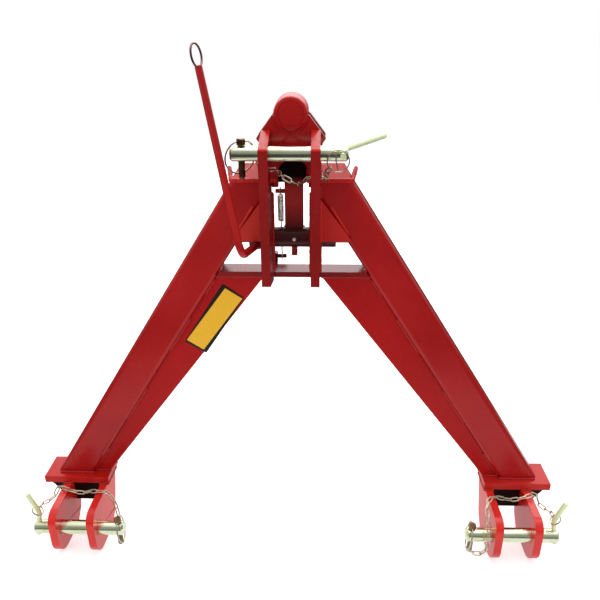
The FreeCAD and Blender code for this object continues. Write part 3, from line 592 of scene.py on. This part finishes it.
vinyl_tree.links.new(vinyl_place.outputs["UV"], vinyl_split.inputs["Vector"])
vinyl_edges = []
for axis, half in (("X", 52.0), ("Y", 14.5)):
    far = vinyl_tree.nodes.new("ShaderNodeMath")
    far.operation = "ABSOLUTE"
    vinyl_tree.links.new(vinyl_split.outputs[axis], far.inputs[0])
    beyond = vinyl_tree.nodes.new("ShaderNodeMath")
    beyond.operation = "GREATER_THAN"
    beyond.inputs[1].default_value = half
    vinyl_tree.links.new(far.outputs[0], beyond.inputs[0])
    vinyl_edges.append(beyond)
vinyl_border = vinyl_tree.nodes.new("ShaderNodeMath")
vinyl_border.operation = "MAXIMUM"
vinyl_tree.links.new(vinyl_edges[0].outputs[0], vinyl_border.inputs[0])
vinyl_tree.links.new(vinyl_edges[1].outputs[0], vinyl_border.inputs[1])
vinyl_grain = vinyl_tree.nodes.new("ShaderNodeTexNoise")
vinyl_grain.inputs["Scale"].default_value = 0.2
vinyl_tree.links.new(vinyl_place.outputs["UV"], vinyl_grain.inputs["Vector"])
vinyl_yellow = vinyl_tree.nodes.new("ShaderNodeMix")
vinyl_yellow.data_type = "RGBA"
vinyl_yellow.inputs["A"].default_value = (0.80, 0.42, 0.008, 1)
vinyl_yellow.inputs["B"].default_value = (0.86, 0.48, 0.015, 1)
vinyl_tree.links.new(vinyl_grain.outputs["Fac"], vinyl_yellow.inputs["Factor"])
vinyl_ink = vinyl_tree.nodes.new("ShaderNodeMix")
vinyl_ink.data_type = "RGBA"
vinyl_ink.inputs["B"].default_value = (0.012, 0.011, 0.01, 1)
vinyl_tree.links.new(vinyl_border.outputs[0], vinyl_ink.inputs["Factor"])
vinyl_tree.links.new(vinyl_yellow.outputs["Result"], vinyl_ink.inputs["A"])
vinyl_tree.links.new(vinyl_ink.outputs["Result"], vinyl_shader.inputs["Base Color"])
label.materials.append(vinyl)
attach(label_piece, "frame")

# Latch: a tube that turns on a fixed bar, with a flat arm and a nose that catches in the
# implement's half. All welded steel in a much darker red, save the arm: a lighter copy of the
# red, a painted light, with painted shade that darkens its foot and turns its top black.
arm_enamel = painted_light_enamel.copy()
arm_enamel.name = "latch_arm_enamel"
arm_tree = arm_enamel.node_tree
arm_shader = arm_tree.nodes["Principled BSDF"]
arm_paint = arm_shader.inputs["Base Color"].links[0].from_socket
arm_place = arm_tree.nodes.new("ShaderNodeTexCoord")
arm_height = arm_tree.nodes.new("ShaderNodeSeparateXYZ")
arm_tree.links.new(arm_place.outputs["Object"], arm_height.inputs["Vector"])
arm_range = arm_tree.nodes.new("ShaderNodeMapRange")
arm_range.inputs["From Min"].default_value = -0.125
arm_range.inputs["From Max"].default_value = -0.025
arm_tree.links.new(arm_height.outputs["Z"], arm_range.inputs["Value"])
# Painted shade by height: dark near the tube, full red in the middle, black at the top.
arm_painted_shade_bands = arm_tree.nodes.new("ShaderNodeValToRGB")
arm_painted_shade_bands.color_ramp.elements[0].position = 0.0
arm_painted_shade_bands.color_ramp.elements[0].color = (0.12, 0.12, 0.12, 1)
arm_painted_shade_bands.color_ramp.elements[1].position = 0.86
arm_painted_shade_bands.color_ramp.elements[1].color = (0.015, 0.015, 0.015, 1)
for place, grey in ((0.12, 0.2), (0.35, 0.7), (0.5, 1.0), (0.7, 1.0)):
    arm_painted_shade_bands.color_ramp.elements.new(place).color = (grey, grey, grey, 1)
arm_tree.links.new(arm_range.outputs["Result"], arm_painted_shade_bands.inputs["Fac"])
arm_shade = arm_tree.nodes.new("ShaderNodeMix")
arm_shade.data_type = "RGBA"
arm_shade.blend_type = "MULTIPLY"
arm_shade.inputs["Factor"].default_value = 1.0
arm_tree.links.new(arm_paint, arm_shade.inputs["A"])
arm_tree.links.new(arm_painted_shade_bands.outputs["Color"], arm_shade.inputs["B"])
arm_tree.links.new(arm_shade.outputs["Result"], arm_shader.inputs["Base Color"])
finish_steel("latch_tube", dark_enamel, 0.0007)
finish_steel("latch_arm", arm_enamel, 0.0007)
for name in ("latch_pivot_bar", "spring_anchor"):
    finish_steel(name, dark_enamel, 0.0006)
tube_mesh = nodes["latch_tube"].data
tube_mesh.materials.append(red_enamel)
lug_top = -0.1402
for polygon in tube_mesh.polygons:
    if polygon.center.z < lug_top:
        polygon.material_index = 1
# A matte white dome sits in the tube's grease hole and shows as a white dot.
plug = bpy.data.meshes.new("grease_plug")
plug_shaper = bmesh.new()
bmesh.ops.create_uvsphere(plug_shaper, u_segments=16, v_segments=10, radius=0.0026)
bmesh.ops.translate(plug_shaper, vec=(0.0025, 0.0413, -0.1252), verts=plug_shaper.verts)
for facet in plug_shaper.faces:
    facet.smooth = True
plug_shaper.to_mesh(plug)
plug_shaper.free()
plug_piece = bpy.data.objects.new("grease_plug", plug)
scene.collection.objects.link(plug_piece)
plug_white_finish = bpy.data.materials.new("white_zinc_plug")
plug_white_finish.use_nodes = True
plug_shader = plug_white_finish.node_tree.nodes["Principled BSDF"]
plug_shader.inputs["Base Color"].default_value = (0.95, 0.95, 0.93, 1)
plug_shader.inputs["Roughness"].default_value = 0.3
plug.materials.append(plug_white_finish)
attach(plug_piece, "latch")
arm_runs = [[(-9.5, 47.3, -113.5), (14.5, 47.3, -113.5)], [(-10.3, 48, -113.3), (-10.3, 62, -113.3)],
            [(15.3, 48, -113.3), (15.3, 62, -113.3)]]
weld("latch_welds", arm_runs, 0.0042, "latch", dark_enamel, 11)

# Release lever: a round bar bent once at its foot and welded under the latch tube, with a
# wire ring welded to its tip for the pull rope. The bar is painted, the ring is plated.
finish_steel("release_lever", red_enamel, 0)
foot_turn = [(-48 + 5.6 * math.cos(math.radians(30 * step)), 51.0 + 5.6 * math.sin(math.radians(30 * step)), -139.2)
             for step in range(13)]
weld("lever_welds", [foot_turn], 0.0036, "latch", dark_enamel, 12)


def wire_tree():
    """Round wire along the piece's own line, smoothed through its points."""
    tree = bpy.data.node_groups.new("round_wire", "GeometryNodeTree")
    tree.interface.new_socket("Geometry", in_out="INPUT", socket_type="NodeSocketGeometry")
    tree.interface.new_socket("Thickness", in_out="INPUT", socket_type="NodeSocketFloat")
    tree.interface.new_socket("Step", in_out="INPUT", socket_type="NodeSocketFloat")
    tree.interface.new_socket("Finish", in_out="INPUT", socket_type="NodeSocketMaterial")
    tree.interface.new_socket("Geometry", in_out="OUTPUT", socket_type="NodeSocketGeometry")
    start = tree.nodes.new("NodeGroupInput")
    end = tree.nodes.new("NodeGroupOutput")
    line = tree.nodes.new("GeometryNodeMeshToCurve")
    soft = tree.nodes.new("GeometryNodeCurveSplineType")
    soft.spline_type = "BEZIER"
    handles = tree.nodes.new("GeometryNodeCurveSetHandles")
    handles.handle_type = "AUTO"
    fine = tree.nodes.new("GeometryNodeResampleCurve")
    fine.mode = "LENGTH"
    half = tree.nodes.new("ShaderNodeMath")
    half.operation = "DIVIDE"
    half.inputs[1].default_value = 2.0
    round_section = tree.nodes.new("GeometryNodeCurvePrimitiveCircle")
    round_section.inputs["Resolution"].default_value = 16
    tube = tree.nodes.new("GeometryNodeCurveToMesh")
    tube.inputs["Fill Caps"].default_value = True
    smooth = tree.nodes.new("GeometryNodeSetShadeSmooth")
    finish = tree.nodes.new("GeometryNodeSetMaterial")
    links = tree.links
    links.new(start.outputs["Geometry"], line.inputs["Mesh"])
    links.new(line.outputs["Curve"], soft.inputs["Curve"])
    links.new(soft.outputs["Curve"], handles.inputs["Curve"])
    links.new(handles.outputs["Curve"], fine.inputs["Curve"])
    links.new(start.outputs["Step"], fine.inputs["Length"])
    links.new(start.outputs["Thickness"], half.inputs[0])
    links.new(half.outputs[0], round_section.inputs["Radius"])
    links.new(fine.outputs["Curve"], tube.inputs["Curve"])
    links.new(round_section.outputs["Curve"], tube.inputs["Profile Curve"])
    links.new(tube.outputs["Mesh"], smooth.inputs["Geometry"])
    links.new(smooth.outputs["Geometry"], finish.inputs["Geometry"])
    links.new(start.outputs["Finish"], finish.inputs["Material"])
    links.new(finish.outputs["Geometry"], end.inputs["Geometry"])
    return tree


round_wire = wire_tree()


def wire(name, runs, thickness, finish, closed=False):
    """Round wire through each run of points in millimetres; closed joins its ends."""
    if closed:
        runs = [run + [run[0]] for run in runs]
    piece = line_piece(name, runs)
    if closed:
        joint = piece.modifiers.new("joint", "WELD")
        joint.merge_threshold = 0.00001
    coat = piece.modifiers.new("wire", "NODES")
    coat.node_group = round_wire
    set_size(coat, Thickness=thickness, Step=0.0008, Finish=finish)
    return made_plain(piece)


def metal(name, colour, other, rough, grain, grain_size, axis=None):
    """Plated or bare steel: two drifting tones, with a fine grain, turned round an axis if given."""
    finish = bpy.data.materials.new(name)
    finish.use_nodes = True
    tree = finish.node_tree
    shader = tree.nodes["Principled BSDF"]
    shader.inputs["Metallic"].default_value = 1.0
    place = tree.nodes.new("ShaderNodeTexCoord")
    drift = tree.nodes.new("ShaderNodeTexNoise")
    drift.inputs["Scale"].default_value = 55.0
    drift.inputs["Detail"].default_value = 4.0
    tree.links.new(place.outputs["Object"], drift.inputs["Vector"])
    tone = tree.nodes.new("ShaderNodeValToRGB")
    tone.color_ramp.elements[0].position = 0.35
    tone.color_ramp.elements[0].color = (*other, 1)
    tone.color_ramp.elements[1].position = 0.62
    tone.color_ramp.elements[1].color = (*colour, 1)
    tree.links.new(drift.outputs["Fac"], tone.inputs["Fac"])
    tree.links.new(tone.outputs["Color"], shader.inputs["Base Color"])
    dull = tree.nodes.new("ShaderNodeMapRange")
    dull.inputs["To Min"].default_value = rough - 0.08
    dull.inputs["To Max"].default_value = rough + 0.12
    tree.links.new(drift.outputs["Fac"], dull.inputs["Value"])
    tree.links.new(dull.outputs["Result"], shader.inputs["Roughness"])
    if axis:
        marks = tree.nodes.new("ShaderNodeTexWave")
        marks.wave_type = "BANDS"
        marks.bands_direction = axis
        marks.inputs["Scale"].default_value = grain_size
        marks.inputs["Distortion"].default_value = 1.2
        marks.inputs["Detail"].default_value = 2.0
    else:
        marks = tree.nodes.new("ShaderNodeTexNoise")
        marks.inputs["Scale"].default_value = grain_size
        marks.inputs["Detail"].default_value = 3.0
    tree.links.new(place.outputs["Object"], marks.inputs["Vector"])
    relief = tree.nodes.new("ShaderNodeBump")
    relief.inputs["Strength"].default_value = grain
    relief.inputs["Distance"].default_value = 0.0003
    tree.links.new(marks.outputs["Fac"], relief.inputs["Height"])
    tree.links.new(relief.outputs["Normal"], shader.inputs["Normal"])
    return finish


dark_wire = metal("paint_stained_wire", (0.34, 0.17, 0.16), (0.15, 0.07, 0.065), 0.3, 0.2, 900.0)


def circle_run(centre, first, second, radius, start=0.0, turn=360.0, count=36):
    """Points round part of a circle, in the plane of two directions at right angles."""
    centre, first, second = Vector(centre), Vector(first).normalized(), Vector(second).normalized()
    run = []
    for step in range(count if turn == 360.0 else count + 1):
        angle = math.radians(start + turn * step / count)
        run.append(tuple(centre + first * (radius * math.cos(angle)) + second * (radius * math.sin(angle))))
    return run


lever_way = Vector((-55.0, 100.0, 211.0)).normalized()
ring_normal = Vector((0.961, -0.254, 0.164)).normalized()
ring_out = (lever_way - ring_normal * lever_way.dot(ring_normal)).normalized()
rope_centre = Vector((-115.0, 40.0, 98.0)) + ring_out * 14.2
rope_ring = wire("pull_rope_ring", [circle_run(rope_centre, ring_out, ring_normal.cross(ring_out), 14.2)],
                 0.0028, dark_wire, True)
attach(rope_ring, "latch")
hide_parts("rope_ring")

# Return spring: a close-wound tension spring with an eye at each end, hooked between the
# peg on the latch arm and the anchor behind the crossbar. Zinc-plated spring wire.
def coil_tree():
    """Close-wound coil with a straight tail below it and an open eye at each end."""
    tree = bpy.data.node_groups.new("tension_coil", "GeometryNodeTree")
    tree.interface.new_socket("Geometry", in_out="INPUT", socket_type="NodeSocketGeometry")
    tree.interface.new_socket("Turns", in_out="INPUT", socket_type="NodeSocketFloat")
    tree.interface.new_socket("Coil Radius", in_out="INPUT", socket_type="NodeSocketFloat")
    tree.interface.new_socket("Coil Length", in_out="INPUT", socket_type="NodeSocketFloat")
    tree.interface.new_socket("Wire Radius", in_out="INPUT", socket_type="NodeSocketFloat")
    tree.interface.new_socket("Finish", in_out="INPUT", socket_type="NodeSocketMaterial")
    tree.interface.new_socket("Geometry", in_out="OUTPUT", socket_type="NodeSocketGeometry")
    start = tree.nodes.new("NodeGroupInput")
    end = tree.nodes.new("NodeGroupOutput")
    coil = tree.nodes.new("GeometryNodeCurveSpiral")
    coil.inputs["Resolution"].default_value = 28
    ends = tree.nodes.new("GeometryNodeMeshToCurve")
    both = tree.nodes.new("GeometryNodeJoinGeometry")
    section = tree.nodes.new("GeometryNodeCurvePrimitiveCircle")
    section.inputs["Resolution"].default_value = 12
    tube = tree.nodes.new("GeometryNodeCurveToMesh")
    tube.inputs["Fill Caps"].default_value = True
    real = tree.nodes.new("GeometryNodeRealizeInstances")
    smooth = tree.nodes.new("GeometryNodeSetShadeSmooth")
    finish = tree.nodes.new("GeometryNodeSetMaterial")
    links = tree.links
    links.new(start.outputs["Turns"], coil.inputs["Rotations"])
    links.new(start.outputs["Coil Radius"], coil.inputs["Start Radius"])
    links.new(start.outputs["Coil Radius"], coil.inputs["End Radius"])
    links.new(start.outputs["Coil Length"], coil.inputs["Height"])
    links.new(start.outputs["Geometry"], ends.inputs["Mesh"])
    links.new(coil.outputs["Curve"], both.inputs["Geometry"])
    links.new(ends.outputs["Curve"], both.inputs["Geometry"])
    links.new(start.outputs["Wire Radius"], section.inputs["Radius"])
    links.new(both.outputs["Geometry"], tube.inputs["Curve"])
    links.new(section.outputs["Curve"], tube.inputs["Profile Curve"])
    links.new(tube.outputs["Mesh"], real.inputs["Geometry"])
    links.new(real.outputs["Geometry"], smooth.inputs["Geometry"])
    links.new(smooth.outputs["Geometry"], finish.inputs["Geometry"])
    links.new(start.outputs["Finish"], finish.inputs["Material"])
    links.new(finish.outputs["Geometry"], end.inputs["Geometry"])
    return tree


spring_top = Vector((-16.5, 59.0, -62.0))
spring_foot = Vector((-16.5, 76.0, -162.0))
spring_length = (spring_foot - spring_top).length
eye_radius = 4.5
spring_wire = metal("zinc_spring_wire", (0.88, 0.88, 0.84), (0.78, 0.78, 0.74), 0.4, 0.1, 700.0)
foot_eye = circle_run((0, 0, 0), (0, 0, 1), (0, 1, 0), eye_radius, 20.0, 320.0, 24)
top_eye = circle_run((0, 0, spring_length), (0, 0, -1), (0, -1, 0), eye_radius, 20.0, 320.0, 24)
coil_start = spring_length - eye_radius - 1.6 - 38.0
tail = [(0, 0, eye_radius), (0, 0, coil_start - 4.0), (0, 3.0, coil_start - 1.0), (3.6, 0, coil_start)]
neck = [(3.6, 0, coil_start + 38.0), (0, 2.0, coil_start + 39.0), (0, 0, spring_length - eye_radius)]
spring = line_piece("latch_return_spring", [foot_eye, top_eye, tail, neck])
for vertex in spring.data.vertices:
    vertex.co.z -= coil_start / 1000
winding = spring.modifiers.new("winding", "NODES")
winding.node_group = coil_tree()
set_size(winding, Turns=17.0, Coil_Radius=0.0036, Coil_Length=0.038, Wire_Radius=0.0009, Finish=spring_wire)
spring = made_plain(spring)
spring_way = (spring_top - spring_foot).normalized()
spring_side = Vector((1, 0, 0))
spring_back = spring_way.cross(spring_side)
spring_turn = Matrix((spring_side, spring_back, spring_way)).transposed().to_4x4()
spring.data.transform(Matrix.Translation(spring_foot / 1000) @ spring_turn @ Matrix.Translation((0, 0, coil_start / 1000)))
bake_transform(spring)
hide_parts("return_spring")

# Hitch pins: turned bright steel under yellow zinc plating, with chamfered ends and a
# cross hole for the linch pin. Each slides in its plates and is pulled by a bent handle.
yellow_zinc = metal("yellow_zinc_plate", (0.84, 0.90, 0.68), (0.74, 0.78, 0.50), 0.16, 0.06, 420.0, "X")
zinc_rod = metal("yellow_zinc_rod", (0.86, 0.97, 0.62), (0.78, 0.88, 0.50), 0.5, 0.1, 600.0)
zinc_rod.node_tree.nodes["Principled BSDF"].inputs["Metallic"].default_value = 0.45
for name in ("top_pin", "left_pin", "right_pin"):
    finish_steel(name, yellow_zinc, 0.0003)
    finish_steel(name + "_handle", zinc_rod, 0)

# Linch pins: drawn dark steel with a pointed shank through the hitch pin's cross hole. A
# sprung wire ring hangs in the head and keeps the pin from rising.
dark_steel = metal("worn_olive_zinc", (0.36, 0.25, 0.13), (0.14, 0.09, 0.045), 0.34, 0.2, 700.0)
for name in ("top_linch_pin", "left_linch_pin", "right_linch_pin"):
    finish_steel(name, dark_steel, 0.0004)
ring_zinc = metal("zinc_ring_wire", (0.60, 0.60, 0.52), (0.36, 0.35, 0.30), 0.28, 0.12, 800.0)


def keeper_ring(name, node, body, site, pin_radius, turn, mirror):
    """Spring ring through a linch pin's head, with both its ends in the head's hole."""
    eye = Vector((0, 0, pin_radius + 0.3 + 4.5))
    along = Vector((math.sin(math.radians(turn)), math.cos(math.radians(turn)), 0))
    radius, mouth = 21.0, 9.0
    centre = eye - Vector((0, 0, math.sqrt(radius ** 2 - mouth ** 2)))
    gap = math.degrees(math.asin(mouth / radius))
    run = [tuple(eye + along * 2.5)]
    run += circle_run(centre, (0, 0, 1), along, radius, gap, 360 - 2 * gap, 40)
    run.append(tuple(eye - along * 2.5))
    lean = Matrix.Translation(eye) @ Matrix.Rotation(math.radians(9), 4, along) @ Matrix.Translation(-eye)
    points = [lean @ Vector(point) + Vector(site) for point in run]
    if mirror:
        points = [Vector((-point.x, point.y, point.z)) for point in points]
    ring = wire(name, [[tuple(point) for point in points]], 0.0021, ring_zinc)
    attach(ring, body)
    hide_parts(node)


keeper_ring("top_keeper_ring", "top_linch_ring", "top_linch", (-60, 0, 0), 9.5, 55.0, False)
keeper_ring("right_keeper_ring", "right_linch_ring", "right_spring_ring", (275.5, -35, -578), 11.0, 8.0, False)
keeper_ring("left_keeper_ring", "left_linch_ring", "left_spring_ring", (275.5, -35, -578), 11.0, 8.0, True)

# Chains: welded oval links that keep each linch pin with its hitch pin. One end hangs in a
# wire loop on the hitch pin or its handle. Zinc-plated wire, dulled by handling.
chain_zinc = metal("dull_zinc_link", (0.84, 0.78, 0.60), (0.46, 0.40, 0.28), 0.32, 0.2, 800.0)


def link_tree():
    """Oval wire links along the piece's own line, each turned a quarter from the last."""
    tree = bpy.data.node_groups.new("oval_links", "GeometryNodeTree")
    tree.interface.new_socket("Geometry", in_out="INPUT", socket_type="NodeSocketGeometry")
    tree.interface.new_socket("Link Pitch", in_out="INPUT", socket_type="NodeSocketFloat")
    tree.interface.new_socket("Link Width", in_out="INPUT", socket_type="NodeSocketFloat")
    tree.interface.new_socket("Wire Radius", in_out="INPUT", socket_type="NodeSocketFloat")
    tree.interface.new_socket("First Turn", in_out="INPUT", socket_type="NodeSocketFloat")
    tree.interface.new_socket("Finish", in_out="INPUT", socket_type="NodeSocketMaterial")
    tree.interface.new_socket("Geometry", in_out="OUTPUT", socket_type="NodeSocketGeometry")
    start = tree.nodes.new("NodeGroupInput")
    end = tree.nodes.new("NodeGroupOutput")
    links = tree.links
    line = tree.nodes.new("GeometryNodeMeshToCurve")
    soft = tree.nodes.new("GeometryNodeCurveSplineType")
    soft.spline_type = "BEZIER"
    handles = tree.nodes.new("GeometryNodeCurveSetHandles")
    handles.handle_type = "AUTO"
    steps = tree.nodes.new("GeometryNodeCurveToPoints")
    steps.mode = "LENGTH"
    links.new(start.outputs["Geometry"], line.inputs["Mesh"])
    links.new(line.outputs["Curve"], soft.inputs["Curve"])
    links.new(soft.outputs["Curve"], handles.inputs["Curve"])
    first_half = tree.nodes.new("ShaderNodeMath")
    first_half.operation = "MULTIPLY"
    first_half.inputs[1].default_value = 0.5
    links.new(start.outputs["Link Pitch"], first_half.inputs[0])
    whole = tree.nodes.new("GeometryNodeCurveLength")
    links.new(handles.outputs["Curve"], whole.inputs["Curve"])
    trimmed = tree.nodes.new("GeometryNodeTrimCurve")
    trimmed.mode = "LENGTH"
    links.new(handles.outputs["Curve"], trimmed.inputs["Curve"])
    links.new(first_half.outputs[0], trimmed.inputs[4])
    links.new(whole.outputs["Length"], trimmed.inputs[5])
    links.new(trimmed.outputs["Curve"], steps.inputs["Curve"])
    links.new(start.outputs["Link Pitch"], steps.inputs["Length"])
    oval = tree.nodes.new("GeometryNodeCurvePrimitiveQuadrilateral")
    oval_length = tree.nodes.new("ShaderNodeMath")
    oval_length.operation = "MULTIPLY_ADD"
    oval_length.inputs[1].default_value = 2.0
    links.new(start.outputs["Wire Radius"], oval_length.inputs[0])
    links.new(start.outputs["Link Pitch"], oval_length.inputs[2])
    oval_width = tree.nodes.new("ShaderNodeMath")
    oval_width.operation = "MULTIPLY_ADD"
    oval_width.inputs[1].default_value = -2.0
    links.new(start.outputs["Wire Radius"], oval_width.inputs[0])
    links.new(start.outputs["Link Width"], oval_width.inputs[2])
    links.new(oval_length.outputs[0], oval.inputs["Width"])
    links.new(oval_width.outputs[0], oval.inputs["Height"])
    bend = tree.nodes.new("GeometryNodeFilletCurve")
    bend.mode = "POLY"
    bend.inputs["Count"].default_value = 5
    bend_radius = tree.nodes.new("ShaderNodeMath")
    bend_radius.operation = "MULTIPLY"
    bend_radius.inputs[1].default_value = 0.499
    links.new(oval_width.outputs[0], bend_radius.inputs[0])
    links.new(oval.outputs["Curve"], bend.inputs["Curve"])
    links.new(bend_radius.outputs[0], bend.inputs["Radius"])
    section = tree.nodes.new("GeometryNodeCurvePrimitiveCircle")
    section.inputs["Resolution"].default_value = 10
    links.new(start.outputs["Wire Radius"], section.inputs["Radius"])
    link = tree.nodes.new("GeometryNodeCurveToMesh")
    links.new(bend.outputs["Curve"], link.inputs["Curve"])
    links.new(section.outputs["Curve"], link.inputs["Profile Curve"])
    lay = tree.nodes.new("GeometryNodeTransform")
    lay.inputs["Rotation"].default_value = (0, math.radians(90), 0)
    links.new(link.outputs["Mesh"], lay.inputs["Geometry"])
    place = tree.nodes.new("GeometryNodeInstanceOnPoints")
    links.new(steps.outputs["Points"], place.inputs["Points"])
    links.new(lay.outputs["Geometry"], place.inputs["Instance"])
    links.new(steps.outputs["Rotation"], place.inputs["Rotation"])
    number = tree.nodes.new("GeometryNodeInputIndex")
    quarter = tree.nodes.new("ShaderNodeMath")
    quarter.operation = "MULTIPLY_ADD"
    quarter.inputs[1].default_value = math.radians(90)
    links.new(number.outputs["Index"], quarter.inputs[0])
    links.new(start.outputs["First Turn"], quarter.inputs[2])
    about = tree.nodes.new("ShaderNodeCombineXYZ")
    links.new(quarter.outputs[0], about.inputs["Z"])
    turn = tree.nodes.new("GeometryNodeRotateInstances")
    turn.inputs["Local Space"].default_value = True
    links.new(place.outputs["Instances"], turn.inputs["Instances"])
    links.new(about.outputs["Vector"], turn.inputs["Rotation"])
    real = tree.nodes.new("GeometryNodeRealizeInstances")
    smooth = tree.nodes.new("GeometryNodeSetShadeSmooth")
    finish = tree.nodes.new("GeometryNodeSetMaterial")
    links.new(turn.outputs["Instances"], real.inputs["Geometry"])
    links.new(real.outputs["Geometry"], smooth.inputs["Geometry"])
    links.new(smooth.outputs["Geometry"], finish.inputs["Geometry"])
    links.new(start.outputs["Finish"], finish.inputs["Material"])
    links.new(finish.outputs["Geometry"], end.inputs["Geometry"])
    return tree


oval_links = link_tree()


def keeper_chain(name, node, body, route, first_turn):
    """Chain of oval links along a route in millimetres."""
    piece = line_piece(name, [route])
    stringing = piece.modifiers.new("links", "NODES")
    stringing.node_group = oval_links
    set_size(stringing, Link_Pitch=0.0110, Link_Width=0.0072, Wire_Radius=0.00095,
             First_Turn=math.radians(first_turn), Finish=chain_zinc)
    chain = made_plain(piece)
    if body:
        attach(chain, body)
    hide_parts(node)
    return chain


def half_chain(chain, name, node, outward):
    """Parts the links on a chain's outer side, past the pin's middle, into their own piece."""
    outer = chain.copy()
    outer.data = chain.data.copy()
    outer.name = outer.data.name = name
    scene.collection.objects.link(outer)
    for piece, keeps_outer in ((chain, False), (outer, True)):
        shaper = bmesh.new()
        shaper.from_mesh(piece.data)
        waiting = set(shaper.verts)
        dropped = []
        while waiting:
            link = [waiting.pop()]
            for corner in link:
                for edge in corner.link_edges:
                    other = edge.other_vert(corner)
                    if other in waiting:
                        waiting.remove(other)
                        link.append(other)
            middle = sum(corner.co.x for corner in link) / len(link)
            if (middle * outward > 0.3415) != keeps_outer:
                dropped += link
        bmesh.ops.delete(shaper, geom=dropped, context="VERTS")
        shaper.to_mesh(piece.data)
        shaper.free()
    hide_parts(node)
    return outer


top_chain = keeper_chain("top_keeper_chain", "top_pin_chain", None, [
    (50.5, -12.8, -15.6), (45.5, -5, -22), (46, 5, -29.5), (45, 14, -34.5), (41, 22.5, -36.5),
    (33, 27, -36.5), (24, 25, -36), (15, 7, -37), (8, -11, -34), (-4, -13, -28),
    (-14, 4, -25), (-23, 23, -25), (-32, 29, -28), (-41, 28, -20), (-42.5, 22, -11)], 0.0)
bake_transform(top_chain)
outer_route = [(57.4, 7.45, 32.2), (56.3, 18, 30), (52, 27.5, 27.5), (45.5, 35, 29.5), (42, 41, 36.5),
               (36.5, 42.5, 43), (28.5, 39, 43), (13.5, 36, 40), (-0.5, 36, 37.5), (-14.5, 36, 40)]
right_route = outer_route + [
    (-29.5, 33, 44), (-40.5, 21, 41), (-43.5, 1, 30), (-44.5, -15, 14), (-45.5, -19, -3),
    (-49.5, -17, -19), (-58.5, -13, -26), (-68, -12, -23)]
left_route = [(-x, y, z) for x, y, z in outer_route] + [
    (29.5, 33, 43), (41.5, 31, 43), (51.5, 27, 36), (58.5, 21, 26), (62, 15.5, 18.5)]
for side, sign, route in (("right", 1, right_route), ("left", -1, left_route)):
    placed = [(sign * 341.5 + x, y - 35, z - 578) for x, y, z in route]
    node, pin = side + "_pin_chain", side + "_lower_pin"
    inner = keeper_chain(side + "_keeper_chain", node, None, placed, 30.0)
    outer = half_chain(inner, side + "_keeper_chain_outer", node, sign)
    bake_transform(outer)
    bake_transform(inner)


def keeper_loop(name, node, body, centre, first, second, radius, turns, hook=()):
    """Wire loop wound like a split ring, its coats lying side by side; hook ends it."""
    centre, first, second = Vector(centre), Vector(first).normalized(), Vector(second).normalized()
    side = first.cross(second)
    run = []
    count = 24 * turns
    for step in range(count + 1):
        angle = 2 * math.pi * step / 24
        spread = 0.55 * (2 * step / count - 1)
        run.append(tuple(centre + first * (radius * math.cos(angle)) + second * (radius * math.sin(angle))
                         + side * spread * turns))
    run += hook
    loop = wire(name, [run], 0.0016, chain_zinc)
    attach(loop, body)
    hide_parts(node)


loop_hook = [(57.6, -12.6, 3.4), (56.6, -12.9, -3.0), (57.6, -12.6, -10.5), (59.6, -12.2, -17.5)]
keeper_loop("top_keeper_loop", "top_pin_loop", "top_link_pin", (59.5, -12, -6.6), (0, 0, 1), (1, 0, 0), 13.5, 2,
            loop_hook)
loop_tilt = math.radians(35)
for side, sign in (("right", 1), ("left", -1)):
    keeper_loop(side + "_keeper_loop", side + "_pin_loop", side + "_lower_pin",
                (sign * 398.8, -35, -546), (0, 1, 0), (sign * math.cos(loop_tilt), 0, math.sin(loop_tilt)), 8.5, 2)
